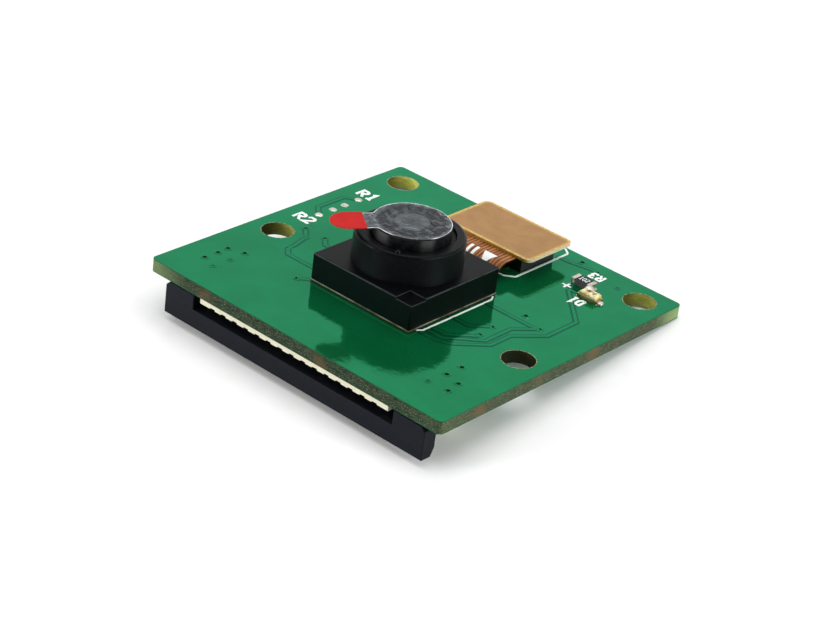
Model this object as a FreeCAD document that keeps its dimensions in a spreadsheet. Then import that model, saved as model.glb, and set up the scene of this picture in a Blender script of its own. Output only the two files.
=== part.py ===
"""Camera board: a 25 x 24 mm circuit board with a small lens module, a flex lead to a
board-to-board plug, and a 15-way sliding ribbon connector under its front edge.

Frame, in millimetres: the origin is the centre of the four mounting holes, on the board's
underside.  +X runs along the ribbon connector's edge, +Y away from that edge, +Z out of the
lens.  Every driving dimension is a cell of the sheet Sizes.
"""
import FreeCAD, Part
import math
import os
import re

import Sketcher

SIZES = {
    # circuit board
    "board_width": 25.0,
    "board_depth": 24.0,
    "board_thick": 0.9,
    "board_corner": 0.35,
    "front_edge": 15.75,
    "hole_span_x": 21.0,
    "hole_span_y": 12.5,
    "hole_bore": 2.2,
    # bare solder pads
    "pad_size": 0.52,
    "pad_thick": 0.03,
    "pad_row_x": 10.47,
    "pad_first_y": -2.33,
    "pad_pitch": 1.4,
    "pad_pair_pitch": 2.55,
    # sliding ribbon connector
    "connector_x": 0.2,
    "slider_width": 22.35,
    "slider_depth": 1.1,
    "slider_gap": 0.08,
    "slider_drop": 2.35,
    "mouth_width": 17.25,
    "bar_drop": 1.07,
    "ear_chamfer": 0.28,
    "slider_edge": 0.05,
    "tongue_width": 15.9,
    "tongue_reach": 2.5,
    "tongue_top": 1.15,
    "tongue_thick": 0.35,
    "arm_offset": 9.95,
    "arm_width": 0.7,
    "arm_reach": 2.4,
    "arm_top": 0.6,
    "arm_thick": 1.2,
    "housing_width": 19.0,
    "housing_front": 1.25,
    "housing_depth": 3.9,
    "housing_gap": 0.05,
    "housing_drop": 2.3,
    "cavity_width": 16.3,
    "cavity_depth": 3.0,
    "cavity_top": 0.42,
    "cavity_drop": 1.6,
    "lip_width": 16.25,
    "lip_reach": 1.15,
    "lip_notch": 0.42,
    "lip_notch_depth": 0.08,
    "contact_count": 15,
    "contact_pitch": 1.0,
    "contact_width": 0.3,
    "contact_thick": 0.12,
    "contact_slot": 0.36,
    "contact_tip": 0.75,
    "contact_beam_top": 0.5,
    "contact_tail": 0.7,
    "contact_gap": 0.06,
    "slot_clearance": 0.04,
    "overcut": 0.02,
    "tab_width": 1.3,
    "tab_depth": 1.2,
    "tab_thick": 0.2,
    "tab_offset": 10.15,
    # lens module
    "lens_y": -5.3,
    "tape_size": 7.9,
    "tape_thick": 0.05,
    "module_size": 8.5,
    "flex_thick": 0.08,
    "substrate_thick": 0.09,
    "sensor_width": 5.7,
    "sensor_depth": 4.3,
    "sensor_thick": 0.2,
    "chip_cap_length": 0.6,
    "chip_cap_width": 0.3,
    "chip_cap_offset": 2.68,
    "filter_size": 5.6,
    "filter_thick": 0.21,
    "filter_top": 1.75,
    "holder_base_top": 2.95,
    "holder_top": 5.05,
    "holder_tower": 7.26,
    "holder_room": 6.9,
    "holder_window": 4.4,
    "holder_shelf_top": 2.15,
    "holder_notch": 1.35,
    "holder_notch_depth": 0.12,
    "holder_edge": 0.1,
    "holder_rim": 0.2,
    "thread_bore": 5.96,
    "glue_radius": 0.2,
    "glue_angle": -62.0,
    "glue_circle": 3.3,
    # lens barrel and what it holds
    "barrel_foot": 2.35,
    "barrel_thread_top": 4.88,
    "barrel_top": 5.68,
    "barrel_thread": 5.86,
    "barrel_head": 5.3,
    "barrel_bore": 4.4,
    "barrel_bore_top": 5.2,
    "barrel_eye": 1.9,
    "barrel_eye_lip": 0.12,
    "barrel_cone": 2.5,
    "lens_size": 4.36,
    "lens_curve": 6.5,
    "front_lens_foot": 4.5,
    "front_lens_thick": 0.7,
    "stop_thick": 0.06,
    "stop_hole": 1.6,
    "second_lens_foot": 3.94,
    "second_lens_thick": 0.48,
    "spacer_thick": 0.12,
    "spacer_hole": 3.0,
    "third_lens_foot": 3.36,
    "third_lens_thick": 0.44,
    "rear_lens_foot": 2.8,
    "rear_lens_thick": 0.42,
    "ring_thick": 0.3,
    # protective film
    "film_foot": 5.7,
    "film_thick": 0.05,
    "film_disc": 5.15,
    "film_neck": 2.0,
    "film_neck_reach": 3.05,
    "film_angle": 233.0,
    "tab_red_width": 2.3,
    "tab_red_end": 5.38,
    # flex lead and board-to-board connector
    "flex_width": 6.2,
    "flex_ramp_foot": 0.45,
    "flex_ramp_rise": 1.9,
    "flex_top": 2.12,
    "flex_overlap": 0.2,
    "plate_x": 0.35,
    "plate_y": 4.55,
    "plate_width": 7.6,
    "plate_depth": 4.75,
    "plate_thick": 0.22,
    "plate_corner": 0.5,
    "socket_x": 0.0,
    "socket_y": 4.5,
    "socket_width": 6.4,
    "socket_depth": 3.5,
    "socket_height": 0.85,
    "socket_wall": 0.45,
    "socket_floor": 0.2,
    "plug_clearance": 0.12,
    "way_count": 12,
    "way_pitch": 0.4,
    "way_width": 0.2,
    "way_thick": 0.08,
    "way_foot": 0.4,
    # indicator lamp and its resistor
    "lamp_x": 8.26,
    "lamp_y": 3.76,
    "lamp_length": 1.6,
    "lamp_width": 0.75,
    "lamp_base_thick": 0.22,
    "lamp_end": 0.28,
    "lamp_dome_thick": 0.28,
    "lamp_dome_inset": 0.1,
    "resistor_x": 6.9,
    "resistor_y": 4.85,
    "chip_length": 1.6,
    "chip_width": 0.8,
    "chip_thick": 0.45,
    "chip_end": 0.3,
    # parts under the board
    "regulator_length": 2.9,
    "regulator_width": 1.6,
    "regulator_pitch": 3.5,
    "regulator_thick": 1.05,
    "regulator_x": 2.6,
    "regulator_y": -6.2,
    "transistor_x": -1.2,
    "transistor_y": -6.2,
    "transistor_length": 2.9,
    "transistor_width": 1.3,
    "lead_width": 0.35,
    "lead_thick": 0.15,
    "lead_reach": 0.6,
    "lead_pitch": 0.95,
    "clock_x": -5.2,
    "clock_y": -6.0,
    "clock_length": 2.5,
    "clock_width": 2.0,
    "clock_base_thick": 0.5,
    "clock_lid_thick": 0.25,
    "clock_lid_inset": 0.15,
    "small_chip_length": 1.0,
    "small_chip_width": 0.5,
    "small_capacitor_thick": 0.4,
    "small_resistor_thick": 0.34,
    "small_chip_end": 0.22,
    "small_chip_y": -2.9,
}

DOC = FreeCAD.newDocument("camera_board")
SHEET = DOC.addObject("Spreadsheet::Sheet", "Sizes")
NODES = []


# ---------------------------------------------------------------- sheet and expressions
def fill_sheet():
    """Write every size into the sheet under its own alias."""
    for row, (alias, value) in enumerate(SIZES.items(), start=1):
        SHEET.set(f"A{row}", alias)
        SHEET.set(f"B{row}", str(value))
        SHEET.setAlias(f"B{row}", alias)
    DOC.recompute()


def formula(text):
    """Prefix each alias in the text with the sheet's name."""
    def qualify(match):
        word = match.group()
        return f"Sizes.{word}" if word in SIZES else word
    return re.sub(r"[a-z][a-z_]*", qualify, str(text))


def value_of(text):
    """The number that a formula gives now."""
    return float(SHEET.evalExpression(formula(text)))


def bind(target, path, text):
    """Drive one property of an object from the sheet."""
    target.setExpression(path, formula(text))


def place(target, x, y, z):
    """Drive an object's position from the sheet."""
    bind(target, "Placement.Base.x", x)
    bind(target, "Placement.Base.y", y)
    bind(target, "Placement.Base.z", z)


def keep(target, name):
    """Register an object as a sub-part under its node name."""
    target.Label = name
    NODES.append(target)
    return target


# ---------------------------------------------------------------- bodies and sketches
def new_body(name, x="0", y="0", z="0"):
    body = DOC.addObject("PartDesign::Body", name)
    place(body, x, y, z)
    return keep(body, name)


def new_sketch(body, plane, x="0", y="0", z="0"):
    """A sketch on one of the body's own planes, moved by x and y in it and z off it."""
    sketch = body.newObject("Sketcher::SketchObject", f"{body.Name}_sketch")
    support = next(part for part in body.Origin.OriginFeatures if part.Role == plane)
    sketch.AttachmentSupport = (support, [""])
    sketch.MapMode = "FlatFace"
    bind(sketch, "AttachmentOffset.Base.x", x)
    bind(sketch, "AttachmentOffset.Base.y", y)
    bind(sketch, "AttachmentOffset.Base.z", z)
    return sketch


def bound_constraint(sketch, kind, geometry, text):
    """Add a dimension to a sketch and drive it from the sheet."""
    index = sketch.addConstraint(Sketcher.Constraint(kind, *geometry, value_of(text)))
    name = f"size_{index}"
    sketch.renameConstraint(index, name)
    bind(sketch, f"Constraints.{name}", text)


def outline(sketch, points):
    """A closed outline of straight lines through points given as pairs of formulas."""
    places = [FreeCAD.Vector(value_of(x), value_of(y), 0) for x, y in points]
    first = sketch.GeometryCount
    count = len(points)
    for start, end in zip(places, places[1:] + places[:1]):
        sketch.addGeometry(Part.LineSegment(start, end))
    for side in range(count):
        following = (side + 1) % count
        sketch.addConstraint(Sketcher.Constraint("Coincident", first + side, 2, first + following, 1))
    for side, (x, y) in enumerate(points):
        bound_constraint(sketch, "DistanceX", (-1, 1, first + side, 1), x)
        bound_constraint(sketch, "DistanceY", (-1, 1, first + side, 1), y)


def rectangle(sketch, width, height, x="0", y="0"):
    """A rectangle centred on x, y."""
    left = f"{x} - ({width}) / 2"
    right = f"{x} + ({width}) / 2"
    low = f"{y} - ({height}) / 2"
    high = f"{y} + ({height}) / 2"
    outline(sketch, [(left, low), (right, low), (right, high), (left, high)])


def circle(sketch, diameter, x="0", y="0"):
    """A circle centred on x, y."""
    centre = FreeCAD.Vector(value_of(x), value_of(y), 0)
    index = sketch.addGeometry(Part.Circle(centre, FreeCAD.Vector(0, 0, 1), value_of(diameter) / 2))
    bound_constraint(sketch, "Diameter", (index,), diameter)
    bound_constraint(sketch, "DistanceX", (-1, 1, index, 3), x)
    bound_constraint(sketch, "DistanceY", (-1, 1, index, 3), y)


def pad(body, sketch, length, both_ways=False):
    feature = body.newObject("PartDesign::Pad", f"{body.Name}_pad")
    feature.Profile = sketch
    feature.Midplane = both_ways
    bind(feature, "Length", length)
    DOC.recompute()
    return feature


def pocket(body, sketch, length, both_ways=False, upwards=False):
    """Cut a sketch out of the body, and make sure that the cut removed something."""
    before = body.Shape.Volume
    feature = body.newObject("PartDesign::Pocket", f"{body.Name}_pocket")
    feature.Profile = sketch
    feature.Midplane = both_ways
    feature.Reversed = upwards
    bind(feature, "Length", length)
    DOC.recompute()
    if not body.Shape.Volume < before:
        raise RuntimeError(f"a pocket of {body.Label} cuts nothing")
    return feature


def row_of(body, feature, axis_role, pitch, count):
    """Repeat a feature in a straight row along one of the body's axes."""
    pattern = body.newObject("PartDesign::LinearPattern", f"{body.Name}_row")
    pattern.Originals = [feature]
    axis = next(part for part in body.Origin.OriginFeatures if part.Role == axis_role)
    pattern.Direction = (axis, [""])
    bind(pattern, "Length", f"{pitch} * ({count} - 1)")
    bind(pattern, "Occurrences", count)
    body.Tip = pattern
    DOC.recompute()
    return pattern


def edge_names(shape, chosen):
    return [f"Edge{number}" for number, edge in enumerate(shape.Edges, start=1) if chosen(edge)]


def is_upright(edge):
    direction = edge.tangentAt(edge.FirstParameter)
    return abs(direction.z) > 0.99 and len(edge.Vertexes) == 2


def lies_at(edge, height):
    """Whether an edge lies level at the height that a formula gives."""
    level = value_of(height)
    return all(abs(vertex.Z - level) < 1e-6 for vertex in edge.Vertexes)


def dress(body, base, kind, size, chosen):
    """Fillet or chamfer the chosen edges of a feature."""
    feature = body.newObject(f"PartDesign::{kind}", f"{body.Name}_{kind.lower()}")
    feature.Base = (base, edge_names(base.Shape, chosen))
    bind(feature, "Radius" if kind == "Fillet" else "Size", size)
    DOC.recompute()
    return feature


def revolve(body, sketch):
    """Turn a profile drawn on the body's XZ plane once round its Z axis."""
    feature = body.newObject("PartDesign::Revolution", f"{body.Name}_turned")
    feature.Profile = sketch
    axis = next(part for part in body.Origin.OriginFeatures if part.Role == "Z_Axis")
    feature.ReferenceAxis = (axis, [""])
    feature.Angle = 360.0
    DOC.recompute()
    return feature


# ---------------------------------------------------------------- primitives
def box(name, width, depth, height, x, y, z):
    """A box centred on x and y that stands on z."""
    solid = DOC.addObject("Part::Box", name)
    bind(solid, "Length", width)
    bind(solid, "Width", depth)
    bind(solid, "Height", height)
    place(solid, f"{x} - ({width}) / 2", f"{y} - ({depth}) / 2", z)
    return solid


def cylinder(name, diameter, height, x, y, z):
    solid = DOC.addObject("Part::Cylinder", name)
    bind(solid, "Radius", f"({diameter}) / 2")
    bind(solid, "Height", height)
    place(solid, x, y, z)
    return solid


def sphere(name, radius, x, y, z):
    solid = DOC.addObject("Part::Sphere", name)
    bind(solid, "Radius", radius)
    place(solid, x, y, z)
    return solid


def cut(name, base, tool):
    result = DOC.addObject("Part::Cut", name)
    result.Base = base
    result.Tool = tool
    return result


def common(name, first, second):
    result = DOC.addObject("Part::MultiCommon", name)
    result.Shapes = [first, second]
    return result


def group(name, members):
    """Separate solids of one kind that share a node."""
    result = DOC.addObject("Part::Compound", name)
    result.Links = members
    return keep(result, name)


# ---------------------------------------------------------------- circuit board
def circuit_board():
    body = new_body("circuit_board")
    plate = new_sketch(body, "XY_Plane")
    rectangle(plate, "board_width", "board_depth", y="board_depth / 2 - front_edge")
    slab = pad(body, plate, "board_thick")
    rounded = dress(body, slab, "Fillet", "board_corner", is_upright)
    holes = new_sketch(body, "XY_Plane", z="board_thick")
    for side in ("-", ""):
        for end in ("-", ""):
            circle(holes, "hole_bore", f"{side}hole_span_x / 2", f"{end}hole_span_y / 2")
    body.Tip = rounded
    pocket(body, holes, "board_thick")


def bare_pads():
    pads = []
    for pair in range(2):
        for end in range(2):
            centre_y = f"pad_first_y + {pair} * pad_pair_pitch + {end} * pad_pitch"
            pads.append(box("bare_pad", "pad_size", "pad_size", "pad_thick",
                            "-pad_row_x", centre_y, "board_thick"))
    group("bare_pads", pads)


# ---------------------------------------------------------------- sliding ribbon connector
def connector_slider():
    """The black frame that is pulled out to free the ribbon, with its tongue and two arms."""
    body = new_body("connector_slider", x="connector_x", y="-front_edge")
    side = new_sketch(body, "YZ_Plane")
    outline(side, [
        ("0", "-slider_drop"),
        ("slider_depth - ear_chamfer", "-slider_drop"),
        ("slider_depth", "-slider_drop + 2 * ear_chamfer"),
        ("slider_depth", "-slider_gap"),
        ("0", "-slider_gap"),
    ])
    frame = pad(body, side, "slider_width", both_ways=True)
    half_width = value_of("slider_width") / 2

    def is_outer_top(edge):
        return all(abs(abs(v.X) - half_width) < 1e-6 and v.Z > -1.0 for v in edge.Vertexes) \
            and abs(edge.tangentAt(edge.FirstParameter).y) > 0.99

    dress(body, frame, "Chamfer", "ear_chamfer", is_outer_top)
    mouth = new_sketch(body, "XY_Plane", z="-bar_drop")
    rectangle(mouth, "mouth_width", "3 * slider_depth")
    pocket(body, mouth, "slider_drop", upwards=True)
    tongue = new_sketch(body, "XY_Plane", z="-tongue_top - tongue_thick")
    rectangle(tongue, "tongue_width", "tongue_reach + slider_depth / 2",
              y="3 * slider_depth / 4 + tongue_reach / 2")
    pad(body, tongue, "tongue_thick")
    arms = new_sketch(body, "XY_Plane", z="-arm_top - arm_thick")
    for side_sign in ("-", ""):
        rectangle(arms, "arm_width", "arm_reach + slider_depth / 2", f"{side_sign}arm_offset",
                  "3 * slider_depth / 4 + arm_reach / 2")
    whole = pad(body, arms, "arm_thick")
    dress(body, whole, "Fillet", "slider_edge",
          lambda edge: all(abs(vertex.Y) < 1e-6 for vertex in edge.Vertexes))


def ribbon_housing():
    """The pale block behind the slider: a cavity for ribbon and tongue, a notched front lip,
    and a slot through the rear wall for each contact."""
    body = new_body("ribbon_housing", x="connector_x", y="-front_edge + housing_front")
    block = new_sketch(body, "XY_Plane", z="-housing_drop")
    rectangle(block, "housing_width", "housing_depth", y="housing_depth / 2")
    pad(body, block, "housing_drop - housing_gap")
    cavity = new_sketch(body, "XY_Plane", z="-cavity_drop")
    rectangle(cavity, "cavity_width", "cavity_depth", y="cavity_depth / 2")
    pocket(body, cavity, "cavity_drop - cavity_top", upwards=True)
    lip = new_sketch(body, "XY_Plane", z="-cavity_top")
    rectangle(lip, "lip_width", "2 * lip_reach")
    pad(body, lip, "cavity_top - housing_gap")
    first_x = "-contact_pitch * (contact_count - 1) / 2"
    notch = new_sketch(body, "XY_Plane", x=first_x, z="-cavity_top - overcut")
    rectangle(notch, "lip_notch", "lip_reach", y="-lip_reach / 2 - overcut")
    notch_cut = pocket(body, notch, "lip_notch_depth + overcut", upwards=True)
    row_of(body, notch_cut, "X_Axis", "contact_pitch", "contact_count")
    slot = new_sketch(body, "XY_Plane", x=first_x, 
                      z="-contact_beam_top - contact_thick - slot_clearance")
    rectangle(slot, "contact_slot", "housing_depth - cavity_depth + 2 * overcut",
              y="(housing_depth + cavity_depth) / 2")
    slot_cut = pocket(body, slot, "housing_drop", upwards=True)
    row_of(body, slot_cut, "X_Axis", "contact_pitch", "contact_count")


def ribbon_contacts():
    """Fifteen sprung contacts: a soldered foot behind the housing, a beam inside its roof."""
    body = new_body("ribbon_contacts", x="connector_x", y="-front_edge + housing_front")
    tail_y = "housing_depth + contact_tail"
    bend_y = "housing_depth + contact_gap"
    tip_y = "-lip_reach + contact_tip"
    beam_low = "-contact_beam_top - contact_thick"
    side = new_sketch(body, "YZ_Plane", z="-contact_pitch * (contact_count - 1) / 2")
    outline(side, [
        (tail_y, "0"),
        (tail_y, "-contact_thick"),
        (f"{bend_y} + contact_thick", "-contact_thick"),
        (f"{bend_y} + contact_thick", beam_low),
        (f"{tip_y} + 4 * contact_thick", beam_low),
        (f"{tip_y} + 2 * contact_thick", f"{beam_low} - contact_thick"),
        (tip_y, beam_low),
        (tip_y, "-contact_beam_top"),
        (bend_y, "-contact_beam_top"),
        (bend_y, "0"),
    ])
    contact = pad(body, side, "contact_width", both_ways=True)
    row_of(body, contact, "X_Axis", "contact_pitch", "contact_count")


def hold_down_tabs():
    tabs = []
    for side in ("-", ""):
        tabs.append(box("hold_down_tab", "tab_width", "tab_depth", "tab_thick",
                        f"connector_x {side or '+'} tab_offset",
                        "-front_edge + housing_front + housing_depth - tab_depth / 2",
                        "-tab_thick"))
    group("hold_down_tabs", tabs)


# ---------------------------------------------------------------- lens module
TAPE_TOP = "board_thick + tape_thick"
FLEX_TOP = f"{TAPE_TOP} + flex_thick"
SUBSTRATE_TOP = f"{FLEX_TOP} + substrate_thick"


def module_base():
    """The tape, the rigid substrate, the image sensor and the capacitors beside it."""
    keep(box("module_tape", "tape_size", "tape_size", "tape_thick", "0", "lens_y", "board_thick"),
         "module_tape")
    keep(box("sensor_substrate", "module_size", "module_size", "substrate_thick",
             "0", "lens_y", FLEX_TOP), "sensor_substrate")
    keep(box("image_sensor", "sensor_width", "sensor_depth", "sensor_thick",
             "0", "lens_y", SUBSTRATE_TOP), "image_sensor")
    capacitors = []
    for side in ("-", "+"):
        for end in ("-", "+"):
            capacitors.append(box("module_capacitor", "chip_cap_length", "chip_cap_width",
                                  "chip_cap_width", f"0 {end} chip_cap_length",
                                  f"lens_y {side} chip_cap_offset", SUBSTRATE_TOP))
    group("module_capacitors", capacitors)
    keep(box("infrared_filter", "filter_size", "filter_size", "filter_thick",
             "0", "lens_y", "filter_top - filter_thick"), "infrared_filter")


def lens_holder():
    """A square base over the sensor with a round tower that is bored for the barrel's thread."""
    body = new_body("lens_holder", y="lens_y")
    base = new_sketch(body, "XY_Plane", z=SUBSTRATE_TOP)
    rectangle(base, "module_size", "module_size")
    slab = pad(body, base, f"holder_base_top - ({SUBSTRATE_TOP})")
    dress(body, slab, "Fillet", "holder_edge",
          lambda edge: is_upright(edge) or lies_at(edge, "holder_base_top"))
    tower = new_sketch(body, "XY_Plane", z="holder_base_top")
    circle(tower, "holder_tower")
    drum = pad(body, tower, "holder_top - holder_base_top")
    dress(body, drum, "Fillet", "holder_rim", lambda edge: lies_at(edge, "holder_top"))
    room = new_sketch(body, "XY_Plane", z=SUBSTRATE_TOP)
    rectangle(room, "holder_room", "holder_room")
    pocket(body, room, f"filter_top - ({SUBSTRATE_TOP})", upwards=True)
    window = new_sketch(body, "XY_Plane", z="filter_top")
    rectangle(window, "holder_window", "holder_window")
    pocket(body, window, "holder_shelf_top - filter_top", upwards=True)
    bore = new_sketch(body, "XY_Plane", z="holder_top")
    circle(bore, "thread_bore")
    pocket(body, bore, "holder_top - holder_shelf_top")
    notch = new_sketch(body, "XY_Plane", z="holder_base_top")
    corner = "module_size / 2 - holder_notch / 2"
    rectangle(notch, "holder_notch + overcut", "holder_notch + overcut", corner, f"-({corner})")
    pocket(body, notch, "holder_notch_depth")


def glue_dot():
    """The drop of glue that locks the focus, a dome on the tower's rim."""
    dome = DOC.addObject("Part::Sphere", "glue_dot")
    bind(dome, "Radius", "glue_radius")
    dome.Angle1 = 0
    place(dome, "glue_circle * cos(glue_angle)", "lens_y + glue_circle * sin(glue_angle)",
          "holder_top")
    keep(dome, "glue_dot")


def lens_barrel():
    """The threaded barrel: a wide threaded foot, a smooth head, and a coned eye in front."""
    body = new_body("lens_barrel", y="lens_y")
    section = new_sketch(body, "XZ_Plane")
    outline(section, [
        ("barrel_bore / 2", "barrel_foot"),
        ("barrel_thread / 2", "barrel_foot"),
        ("barrel_thread / 2", "barrel_thread_top"),
        ("barrel_head / 2", "barrel_thread_top"),
        ("barrel_head / 2", "barrel_top"),
        ("barrel_cone / 2", "barrel_top"),
        ("barrel_eye / 2", "barrel_bore_top + barrel_eye_lip"),
        ("barrel_eye / 2", "barrel_bore_top"),
        ("barrel_bore / 2", "barrel_bore_top"),
    ])
    revolve(body, section)


def optics():
    """Four lens elements with the stop, spacers and retaining ring that hold them apart."""
    def blank(name, thick, foot):
        return cylinder(f"{name}_blank", "lens_size", thick, "0", "lens_y", foot)

    def domed(name, thick, foot):
        """Flat below and domed above."""
        crown = sphere(f"{name}_crown", "lens_curve", "0", "lens_y",
                       f"{foot} + {thick} - lens_curve")
        keep(common(name, blank(name, thick, foot), crown), name)

    def hollowed(name, thick, foot):
        """Flat below and hollow above."""
        hollow = sphere(f"{name}_hollow", "2 * lens_curve", "0", "lens_y",
                        f"{foot} + {thick} / 2 + 2 * lens_curve")
        keep(cut(name, blank(name, thick, foot), hollow), name)

    domed("front_lens", "front_lens_thick", "front_lens_foot")
    hollowed("second_lens", "second_lens_thick", "second_lens_foot")
    domed("third_lens", "third_lens_thick", "third_lens_foot")
    hollowed("rear_lens", "rear_lens_thick", "rear_lens_foot")

    def washer(name, hole, thick, foot):
        disc = cylinder(f"{name}_disc", "lens_size", thick, "0", "lens_y", foot)
        opening = cylinder(f"{name}_opening", hole, f"3 * {thick}", "0", "lens_y",
                           f"{foot} - {thick}")
        return cut(name, disc, opening)

    keep(washer("aperture_stop", "stop_hole", "stop_thick", "front_lens_foot - stop_thick"),
         "aperture_stop")
    spacers = []
    for neighbour in ("second_lens_foot", "third_lens_foot"):
        spacers.append(washer("spacer", "spacer_hole", "spacer_thick",
                              f"{neighbour} - spacer_thick"))
    group("lens_spacers", spacers)
    keep(washer("retaining_ring", "spacer_hole", "ring_thick", "rear_lens_foot - ring_thick"),
         "retaining_ring")


def protective_film():
    """The peel-off film over the lens: a disc with a neck, and a red tongue stuck on its end."""
    body = new_body("protective_film", y="lens_y", z="film_foot")
    bind(body, "Placement.Rotation.Angle", "film_angle * 1 deg")
    disc = new_sketch(body, "XY_Plane")
    circle(disc, "film_disc")
    pad(body, disc, "film_thick")
    neck = new_sketch(body, "XY_Plane")
    rectangle(neck, "film_neck_reach", "film_neck", x="film_neck_reach / 2")
    pad(body, neck, "film_thick")

    tab = new_body("pull_tab", y="lens_y", z="film_foot")
    bind(tab, "Placement.Rotation.Angle", "film_angle * 1 deg")
    tongue = new_sketch(tab, "XY_Plane")
    length = "tab_red_end - tab_red_width / 2 - film_neck_reach"
    rectangle(tongue, length, "tab_red_width", x=f"film_neck_reach + ({length}) / 2")
    pad(tab, tongue, "film_thick")
    tip = new_sketch(tab, "XY_Plane")
    circle(tip, "tab_red_width", x="tab_red_end - tab_red_width / 2")
    pad(tab, tip, "film_thick")


# ---------------------------------------------------------------- flex lead and its plug
def flex_circuit():
    """A thin strip: flat under the module, an S-bend up to the plug, flat over the plug."""
    thick = value_of("flex_thick")
    low = value_of(TAPE_TOP)
    high = value_of("flex_top") - thick
    start = value_of("lens_y + module_size / 2 + flex_ramp_foot")
    run = value_of("flex_ramp_rise")
    end = start + run
    half = value_of("flex_width") / 2
    turn = 2 * math.atan2(high - low, run)
    bend = run / (2 * math.sin(turn))

    def at(y, z):
        return FreeCAD.Vector(-half, y, z)

    def arc(centre_y, centre_z, radius, side):
        """One bend: side is 1 where the strip curves up and -1 where it levels out."""
        points = [at(centre_y + side * radius * math.sin(angle),
                     centre_z - side * radius * math.cos(angle))
                  for angle in (0, turn / 2, turn)]
        return Part.Arc(*points).toShape()

    low_centre = low + thick / 2 + bend
    high_centre = high + thick / 2 - bend
    under_first = arc(start, low_centre, bend + thick / 2, 1)
    under_last = arc(end, high_centre, bend - thick / 2, -1)
    over_last = arc(end, high_centre, bend + thick / 2, -1)
    over_first = arc(start, low_centre, bend - thick / 2, 1)
    back = value_of("lens_y + module_size / 2 - flex_overlap")
    front = value_of("plate_y - (plate_depth - plate_corner) / 2 + flex_overlap")
    wire = Part.Wire(Part.__sortEdges__([
        Part.makeLine(at(back, low), at(start, low)), under_first, under_last,
        Part.makeLine(at(end, high), at(front, high)),
        Part.makeLine(at(front, high), at(front, high + thick)),
        Part.makeLine(at(front, high + thick), at(end, high + thick)), over_last, over_first,
        Part.makeLine(at(start, low + thick), at(back, low + thick)),
        Part.makeLine(at(back, low + thick), at(back, low)),
    ]))
    ramp = Part.Face(wire).extrude(FreeCAD.Vector(2 * half, 0, 0))
    module = value_of("module_size")
    under_module = Part.makeBox(module, module, thick,
                                FreeCAD.Vector(-module / 2, value_of("lens_y") - module / 2, low))
    plate_width = value_of("plate_width - plate_corner")
    plate_depth = value_of("plate_depth - plate_corner")
    over_plug = Part.makeBox(plate_width, plate_depth, thick,
                             FreeCAD.Vector(value_of("plate_x") - plate_width / 2,
                                            value_of("plate_y") - plate_depth / 2, high))
    strip = DOC.addObject("Part::Feature", "flex_circuit")
    strip.Shape = ramp.fuse([under_module, over_plug]).removeSplitter()
    keep(strip, "flex_circuit")


def stiffener():
    body = new_body("stiffener", x="plate_x", y="plate_y", z="flex_top")
    plate = new_sketch(body, "XY_Plane")
    rectangle(plate, "plate_width", "plate_depth")
    slab = pad(body, plate, "plate_thick")
    dress(body, slab, "Fillet", "plate_corner", is_upright)


def board_connector():
    """The socket on the board, the plug under the flex, and their contacts."""
    socket = new_body("board_socket", x="socket_x", y="socket_y", z="board_thick")
    block = new_sketch(socket, "XY_Plane")
    rectangle(block, "socket_width", "socket_depth")
    pad(socket, block, "socket_height")
    well = new_sketch(socket, "XY_Plane", z="socket_height")
    rectangle(well, "socket_width - 2 * socket_wall", "socket_depth - 2 * socket_wall")
    pocket(socket, well, "socket_height - socket_floor")

    plug_foot = "board_thick + socket_floor + plug_clearance"
    keep(box("flex_plug", "socket_width - 2 * socket_wall - 2 * plug_clearance",
             "socket_depth - 2 * socket_wall - 4 * way_thick - 2 * plug_clearance",
             f"flex_top - flex_thick - ({plug_foot})", "socket_x", "socket_y", plug_foot), "flex_plug")

    first_x = "-way_pitch * (way_count - 1) / 2"
    feet = new_body("socket_contacts", x="socket_x", y="socket_y", z="board_thick")
    pair = new_sketch(feet, "XY_Plane", x=first_x)
    for side in ("-", ""):
        rectangle(pair, "way_width", "way_foot", y=f"{side}(socket_depth + way_foot) / 2")
    row_of(feet, pad(feet, pair, "way_thick"), "X_Axis", "way_pitch", "way_count")

    blades = new_body("plug_contacts", x="socket_x", y="socket_y", z=plug_foot)
    strip = new_sketch(blades, "XY_Plane", x=first_x)
    for side in ("-", ""):
        rectangle(strip, "way_width", "way_thick",
                  y=f"{side}(socket_depth / 2 - socket_wall - 1.5 * way_thick - plug_clearance)")
    row_of(blades, pad(blades, strip, "2 * plug_clearance + way_foot"), "X_Axis",
           "way_pitch", "way_count")


# ---------------------------------------------------------------- parts on the board
def indicator_lamp():
    """The small lamp: a base with a metal end on each side, and a clear dome."""
    keep(box("lamp_base", "lamp_length - 2 * lamp_end", "lamp_width", "lamp_base_thick",
             "lamp_x", "lamp_y", "board_thick"), "lamp_base")
    ends = [box("lamp_terminal", "lamp_end", "lamp_width", "lamp_base_thick",
                f"lamp_x {side} (lamp_length - lamp_end) / 2", "lamp_y", "board_thick")
            for side in ("-", "+")]
    group("lamp_terminals", ends)
    dome = new_body("lamp_dome", x="lamp_x", y="lamp_y", z="board_thick + lamp_base_thick")
    foot = new_sketch(dome, "XY_Plane")
    rectangle(foot, "lamp_length - lamp_end", "lamp_width")
    slab = pad(dome, foot, "lamp_dome_thick")
    dress(dome, slab, "Chamfer", "lamp_dome_inset", lambda edge: lies_at(edge, "lamp_dome_thick"))


def chip_pair(body_name, end_name, length, width, thick, end, centres, foot):
    """Chip components: one body between two metal ends at each centre."""
    bodies = []
    ends = []
    for x, y in centres:
        bodies.append(box(f"{body_name}_piece", f"{length} - 2 * {end}", width, thick, x, y, foot))
        for side in ("-", "+"):
            ends.append(box(f"{end_name}_piece", end, width, thick,
                            f"{x} {side} ({length} - {end}) / 2", y, foot))
    group(body_name, bodies)
    group(end_name, ends)


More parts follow.
